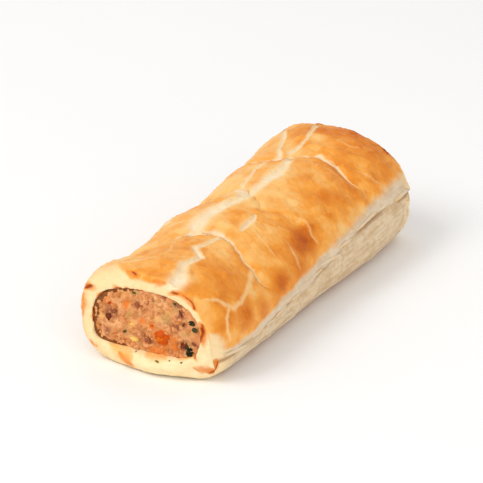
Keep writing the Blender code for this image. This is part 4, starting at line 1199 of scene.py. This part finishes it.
class StageSettings(bpy.types.PropertyGroup):
    floor: colour_setting("Floor", "The plain pale floor", 250, 250, 250)
    azimuth: FloatProperty(name="Azimuth", description="Where the camera stands round the roll", default=math.radians(28), subtype="ANGLE")
    elevation: FloatProperty(name="Elevation", description="How far the camera looks down", default=math.radians(24), subtype="ANGLE")
    distance: FloatProperty(name="Distance", description="Camera to the middle of the roll", default=0.9, min=0.2, unit="LENGTH")
    lens: FloatProperty(name="Lens", description="Focal length in mm", default=187.8, min=10.0)
    key_power: FloatProperty(name="Key light", description="Power of the key light in watts", default=13.0, min=0.0)
    fill_power: FloatProperty(name="Fill light", description="Power of the fill light in watts", default=5.0, min=0.0)
    sky: FloatProperty(name="Sky", description="Strength of the even light from all round", default=0.72, min=0.0)


# ---------------------------------------------------------------- operators
class BakePastry(bpy.types.Operator):
    """Make the glazed pastry with its slashes, splits, seam and cut edges"""
    bl_idname = "bakery.pastry"
    bl_label = "Pastry"

    def execute(self, context):
        make_groups()
        settings = context.scene.roll_pastry
        data = to_data("pastry_crust", wrapped_grid(pastry_rows()))
        skin = Skin(data)
        raise_surface(data, pastry_relief(skin, settings))
        write_pastry_fields(data, skin)
        add_piece("pastry_crust", data, pastry_material(settings), "pastry")
        return {"FINISHED"}


class LiftFlakes(bpy.types.Operator):
    """Lay loose thin leaves of pastry along the seam, the sides, the slashes and the far cut"""
    bl_idname = "bakery.flakes"
    bl_label = "Pastry flakes"

    def execute(self, context):
        make_groups()
        mesh = bmesh.new()
        layers = [mesh.verts.layers.float.new(name) for name in ("tone", "burn")]
        for row, (route, count, *sizes, tone, burn) in enumerate(FLAKE_ROWS):
            numbers = scatter(31 + row, count)
            for step in range(count):
                share = mix(route[0][0], route[-1][0], (step + 0.7 * numbers[step, 0]) / count)
                angle = float(along_route(route, share, shape=clamp)) + 1.6 * (numbers[step, 1] - 0.5)
                length, width, raised, lifted = (size * MM * (0.65 + 0.7 * numbers[step, 2]) for size in sizes)
                add_leaf(mesh, layers, skin_frame(angle, NEAR_END + share * LENGTH), (length, width), raised, lifted,
                         step * 1.31 + row, tone, burn, 0.14 * (numbers[step, 0] - 0.5))
        for number, (angle, share, turn, *sizes, tone, burn) in enumerate(FLAKES):
            length, width, raised, lifted = (size * MM for size in sizes)
            add_leaf(mesh, layers, skin_frame(angle, NEAR_END + share * LENGTH), (length, width), raised, lifted,
                     number * 2.17, tone, burn, math.radians(turn))
        bmesh.ops.recalc_face_normals(mesh, faces=mesh.faces)
        bmesh.ops.solidify(mesh, geom=mesh.faces[:], thickness=context.scene.roll_pastry.flake_thickness)
        bmesh.ops.recalc_face_normals(mesh, faces=mesh.faces)
        add_piece("pastry_flakes", to_data("pastry_flakes", mesh), flake_material(context.scene.roll_pastry))
        return {"FINISHED"}


class CookFilling(bpy.types.Operator):
    """Make the coarse meat filling with a rough cut face at each end"""
    bl_idname = "bakery.filling"
    bl_label = "Filling"

    def execute(self, context):
        make_groups()
        data = to_data("meat_filling", rolled_grid(filling_rows()))
        count = len(data.vertices)
        point = np.zeros(count * 3)
        data.vertices.foreach_get("co", point)
        point = point.reshape(-1, 3)
        spread = np.zeros(count)
        data.attributes["spread"].data.foreach_get("value", spread)
        height = np.array([mince_height(p) for p in point])
        on_face = clamp((1.0 - spread) / 0.04) * (spread < 1.2)
        raise_surface(data, height * on_face)
        middle_z = 0.0185
        angle = np.degrees(np.arctan2(point[:, 2] - middle_z, point[:, 0] - MIDDLE_X)) % 360
        drawn_back = along_route(DRAWN_BACK, angle)
        wave = rough(point, 0.0014, 2) * 0.105 - 0.01
        # painted shade: how far below the cut face each point lies, for darkening the hollows
        write_field(data, "hollow_shade", clamp(-height / 0.0006) * on_face)
        write_field(data, "browned", clamp((spread + wave - mix(0.985, 0.895, drawn_back)) / 0.02) * mix(0.25, 1.0, drawn_back))
        near = point[:, 1] < 0
        shift = np.stack([rough(point + 2.0, 0.0023, 2), rough(point + 4.0, 0.0023, 2)], 1) * 0.0014
        for name, spots in STAINS.items():
            stain = np.zeros(count)
            for x, z, radius in spots:
                away = np.hypot(point[:, 0] + shift[:, 0] - x * MM, point[:, 2] + shift[:, 1] - np.where(near, z, FAR_FLIP - z) * MM)
                stain = np.maximum(stain, 1 - away / (radius * MM))
            write_field(data, name, stain)
        add_piece("meat_filling", data, filling_material(context.scene.roll_filling), "filling")
        return {"FINISHED"}


class ScatterCrumbs(bpy.types.Operator):
    """Set crumbs of mince into both cut faces"""
    bl_idname = "bakery.crumbs"
    bl_label = "Mince crumbs"

    def execute(self, context):
        make_groups()
        settings = context.scene.roll_filling
        mesh = bmesh.new()
        layer = mesh.verts.layers.float.new("tone")
        for end, seed in (("near", 11), ("far", 23)):
            numbers = scatter(seed, settings.crumb_count)
            angle = numbers[:, 0] * 360
            spread = np.sqrt(numbers[:, 1]) * 0.95
            places = face_point(end, angle, spread)
            sizes = scatter(seed + 1, settings.crumb_count)
            for number, place in enumerate(places):
                large = settings.crumb_size * (0.55 + 1.3 * sizes[number, 0] ** 2)
                size = (large * (0.8 + 1.0 * sizes[number, 1]), large * 0.7, large * (0.7 + 0.5 * sizes[number, 2]))
                height = mince_height(place)
                outwards = -1 if end == "near" else 1
                place = Vector(place) + Vector((0, outwards * (height * 0.8 - large * 0.4), 0))
                add_lump(mesh, place, size, spin_of(number * 0.37), number * 0.61, False, layer, numbers[number, 2], 0.1, 0.45)
        data = to_data("mince_crumbs", mesh)
        finish = bit_material("mince_crumb", settings.meat_brown, settings.meat_pink, 0.5)
        add_piece("mince_crumbs", data, finish)
        return {"FINISHED"}


class DiceVegetables(bpy.types.Operator):
    """Set diced carrot, red onion, golden onion and chopped herbs into both cut faces"""
    bl_idname = "bakery.vegetables"
    bl_label = "Vegetables and herbs"

    def execute(self, context):
        make_groups()
        paint = context.scene.roll_bits
        kinds = (
            ("carrot_dice", CARROT_NEAR, 1.5, 0.2, 1.1, paint.carrot, paint.carrot_light, 0.45, 2.0),
            ("red_onion", ONION_NEAR, 0.8, 0.15, 0.55, paint.onion, paint.onion_light, 0.42, 5.0),
            ("chopped_herbs", HERBS_NEAR, 0.5, 0.1, 0.1, paint.herb, paint.herb_light, 0.5, 9.0),
            ("golden_onion", ONION_GOLD_NEAR, 0.7, 0.2, 0.55, paint.onion_gold, paint.onion_gold_light, 0.4, 13.0),
        )
        for name, bits, thickness, squareness, sink, first, second, roughness, seed in kinds:
            mesh = bmesh.new()
            layer = mesh.verts.layers.float.new("tone")
            add_bits(mesh, bits, "near", layer, thickness, squareness, sink, seed)
            if name == "chopped_herbs":
                for number, (angle, turn, size) in enumerate(LIP_FLECKS):
                    place = Vector(rim_point("near", np.array([float(angle)]), turn)[0])
                    add_lump(mesh, place, (size * MM / 2, 0.00025, size * MM / 3), spin_of(0.2 * number), number, True, layer, 1.0)
            add_bits(mesh, bits, "far", layer, thickness, squareness, sink, seed + 0.5)
            add_piece(name, to_data(name, mesh), bit_material(name, first, second, roughness))
        return {"FINISHED"}


class SetStage(bpy.types.Operator):
    """Set the pale floor, the soft lights and the camera"""
    bl_idname = "bakery.stage"
    bl_label = "Stage"

    def execute(self, context):
        make_groups()
        settings = context.scene.roll_stage
        mesh = bmesh.new()
        bmesh.ops.create_grid(mesh, x_segments=4, y_segments=4, size=4.0, matrix=Matrix.Translation((0.0, 0.0, -0.0001)))
        finish, tree, shader = new_material("studio_floor", 0.2)
        shade = place_group(tree, "Blotches", **{"Scale": 6.0, "Fine Scale": 30.0, "Fine Share": 0.2})["Value"]
        tree.links.new(blend_colour(tree, shade, solid(settings.floor), solid([c * 0.985 for c in settings.floor])),
                       shader.inputs["Base Color"])
        shader.inputs["Roughness"].default_value = 0.8
        data = to_data("studio_floor", mesh)
        data.materials.append(finish)
        floor = bpy.data.objects.new("studio_floor", data)
        context.scene.collection.objects.link(floor)
        self.add_light(context, "key_light", settings.key_power, 0.9, (-0.75, -0.95, 1.25), (1.0, 0.97, 0.93))
        self.add_light(context, "fill_light", settings.fill_power, 1.2, (1.1, -0.9, 0.7), (1.0, 0.98, 0.96))
        world = bpy.data.worlds.new("studio_sky")
        world.use_nodes = True
        world.node_tree.nodes["Background"].inputs["Color"].default_value = (1.0, 1.0, 1.0, 1.0)
        world.node_tree.nodes["Background"].inputs["Strength"].default_value = settings.sky
        context.scene.world = world
        context.scene.view_settings.view_transform = "Standard"
        target = Vector((-0.0069, 0.0060, 0.0165))
        back = Vector((math.sin(settings.azimuth) * math.cos(settings.elevation),
                       -math.cos(settings.azimuth) * math.cos(settings.elevation), math.sin(settings.elevation)))
        camera = bpy.data.objects.new("camera", bpy.data.cameras.new("camera"))
        context.scene.collection.objects.link(camera)
        camera.location = target + back * settings.distance
        camera.rotation_euler = (-back).to_track_quat("-Z", "Y").to_euler()
        camera.data.lens = settings.lens
        camera.data.sensor_width = 36.0
        camera.data.clip_end = 20.0
        context.scene.camera = camera
        return {"FINISHED"}

    def add_light(self, context, name, power, size, place, colour):
        """One soft square light that faces the roll."""
        light = bpy.data.lights.new(name, "AREA")
        light.energy = power
        light.size = size
        light.color = colour
        item = bpy.data.objects.new(name, light)
        context.scene.collection.objects.link(item)
        item.location = place
        item.rotation_euler = Vector(place).to_track_quat("Z", "Y").to_euler()


class BakeryPanel(bpy.types.Panel):
    """The pieces of the sausage roll"""
    bl_idname = "VIEW3D_PT_bakery"
    bl_label = "Sausage roll"
    bl_space_type = "VIEW_3D"
    bl_region_type = "UI"
    bl_category = "Bakery"

    def draw(self, context):
        for operator in OPERATORS:
            self.layout.operator(operator.bl_idname)


OPERATORS = (BakePastry, LiftFlakes, CookFilling, ScatterCrumbs, DiceVegetables, SetStage)
SETTINGS = {"roll_pastry": PastrySettings, "roll_filling": FillingSettings, "roll_bits": BitSettings, "roll_stage": StageSettings}


def register():
    for item in (*SETTINGS.values(), *OPERATORS, BakeryPanel):
        bpy.utils.register_class(item)
    for name, kind in SETTINGS.items():
        setattr(bpy.types.Scene, name, PointerProperty(type=kind))


def unregister():
    for name in SETTINGS:
        delattr(bpy.types.Scene, name)
    for item in reversed((*SETTINGS.values(), *OPERATORS, BakeryPanel)):
        bpy.utils.unregister_class(item)


def main():
    register()
    bpy.ops.bakery.pastry()
    bpy.ops.bakery.flakes()
    bpy.ops.bakery.filling()
    bpy.ops.bakery.crumbs()
    bpy.ops.bakery.vegetables()
    bpy.ops.bakery.stage()


if __name__ == "__main__":
    main()
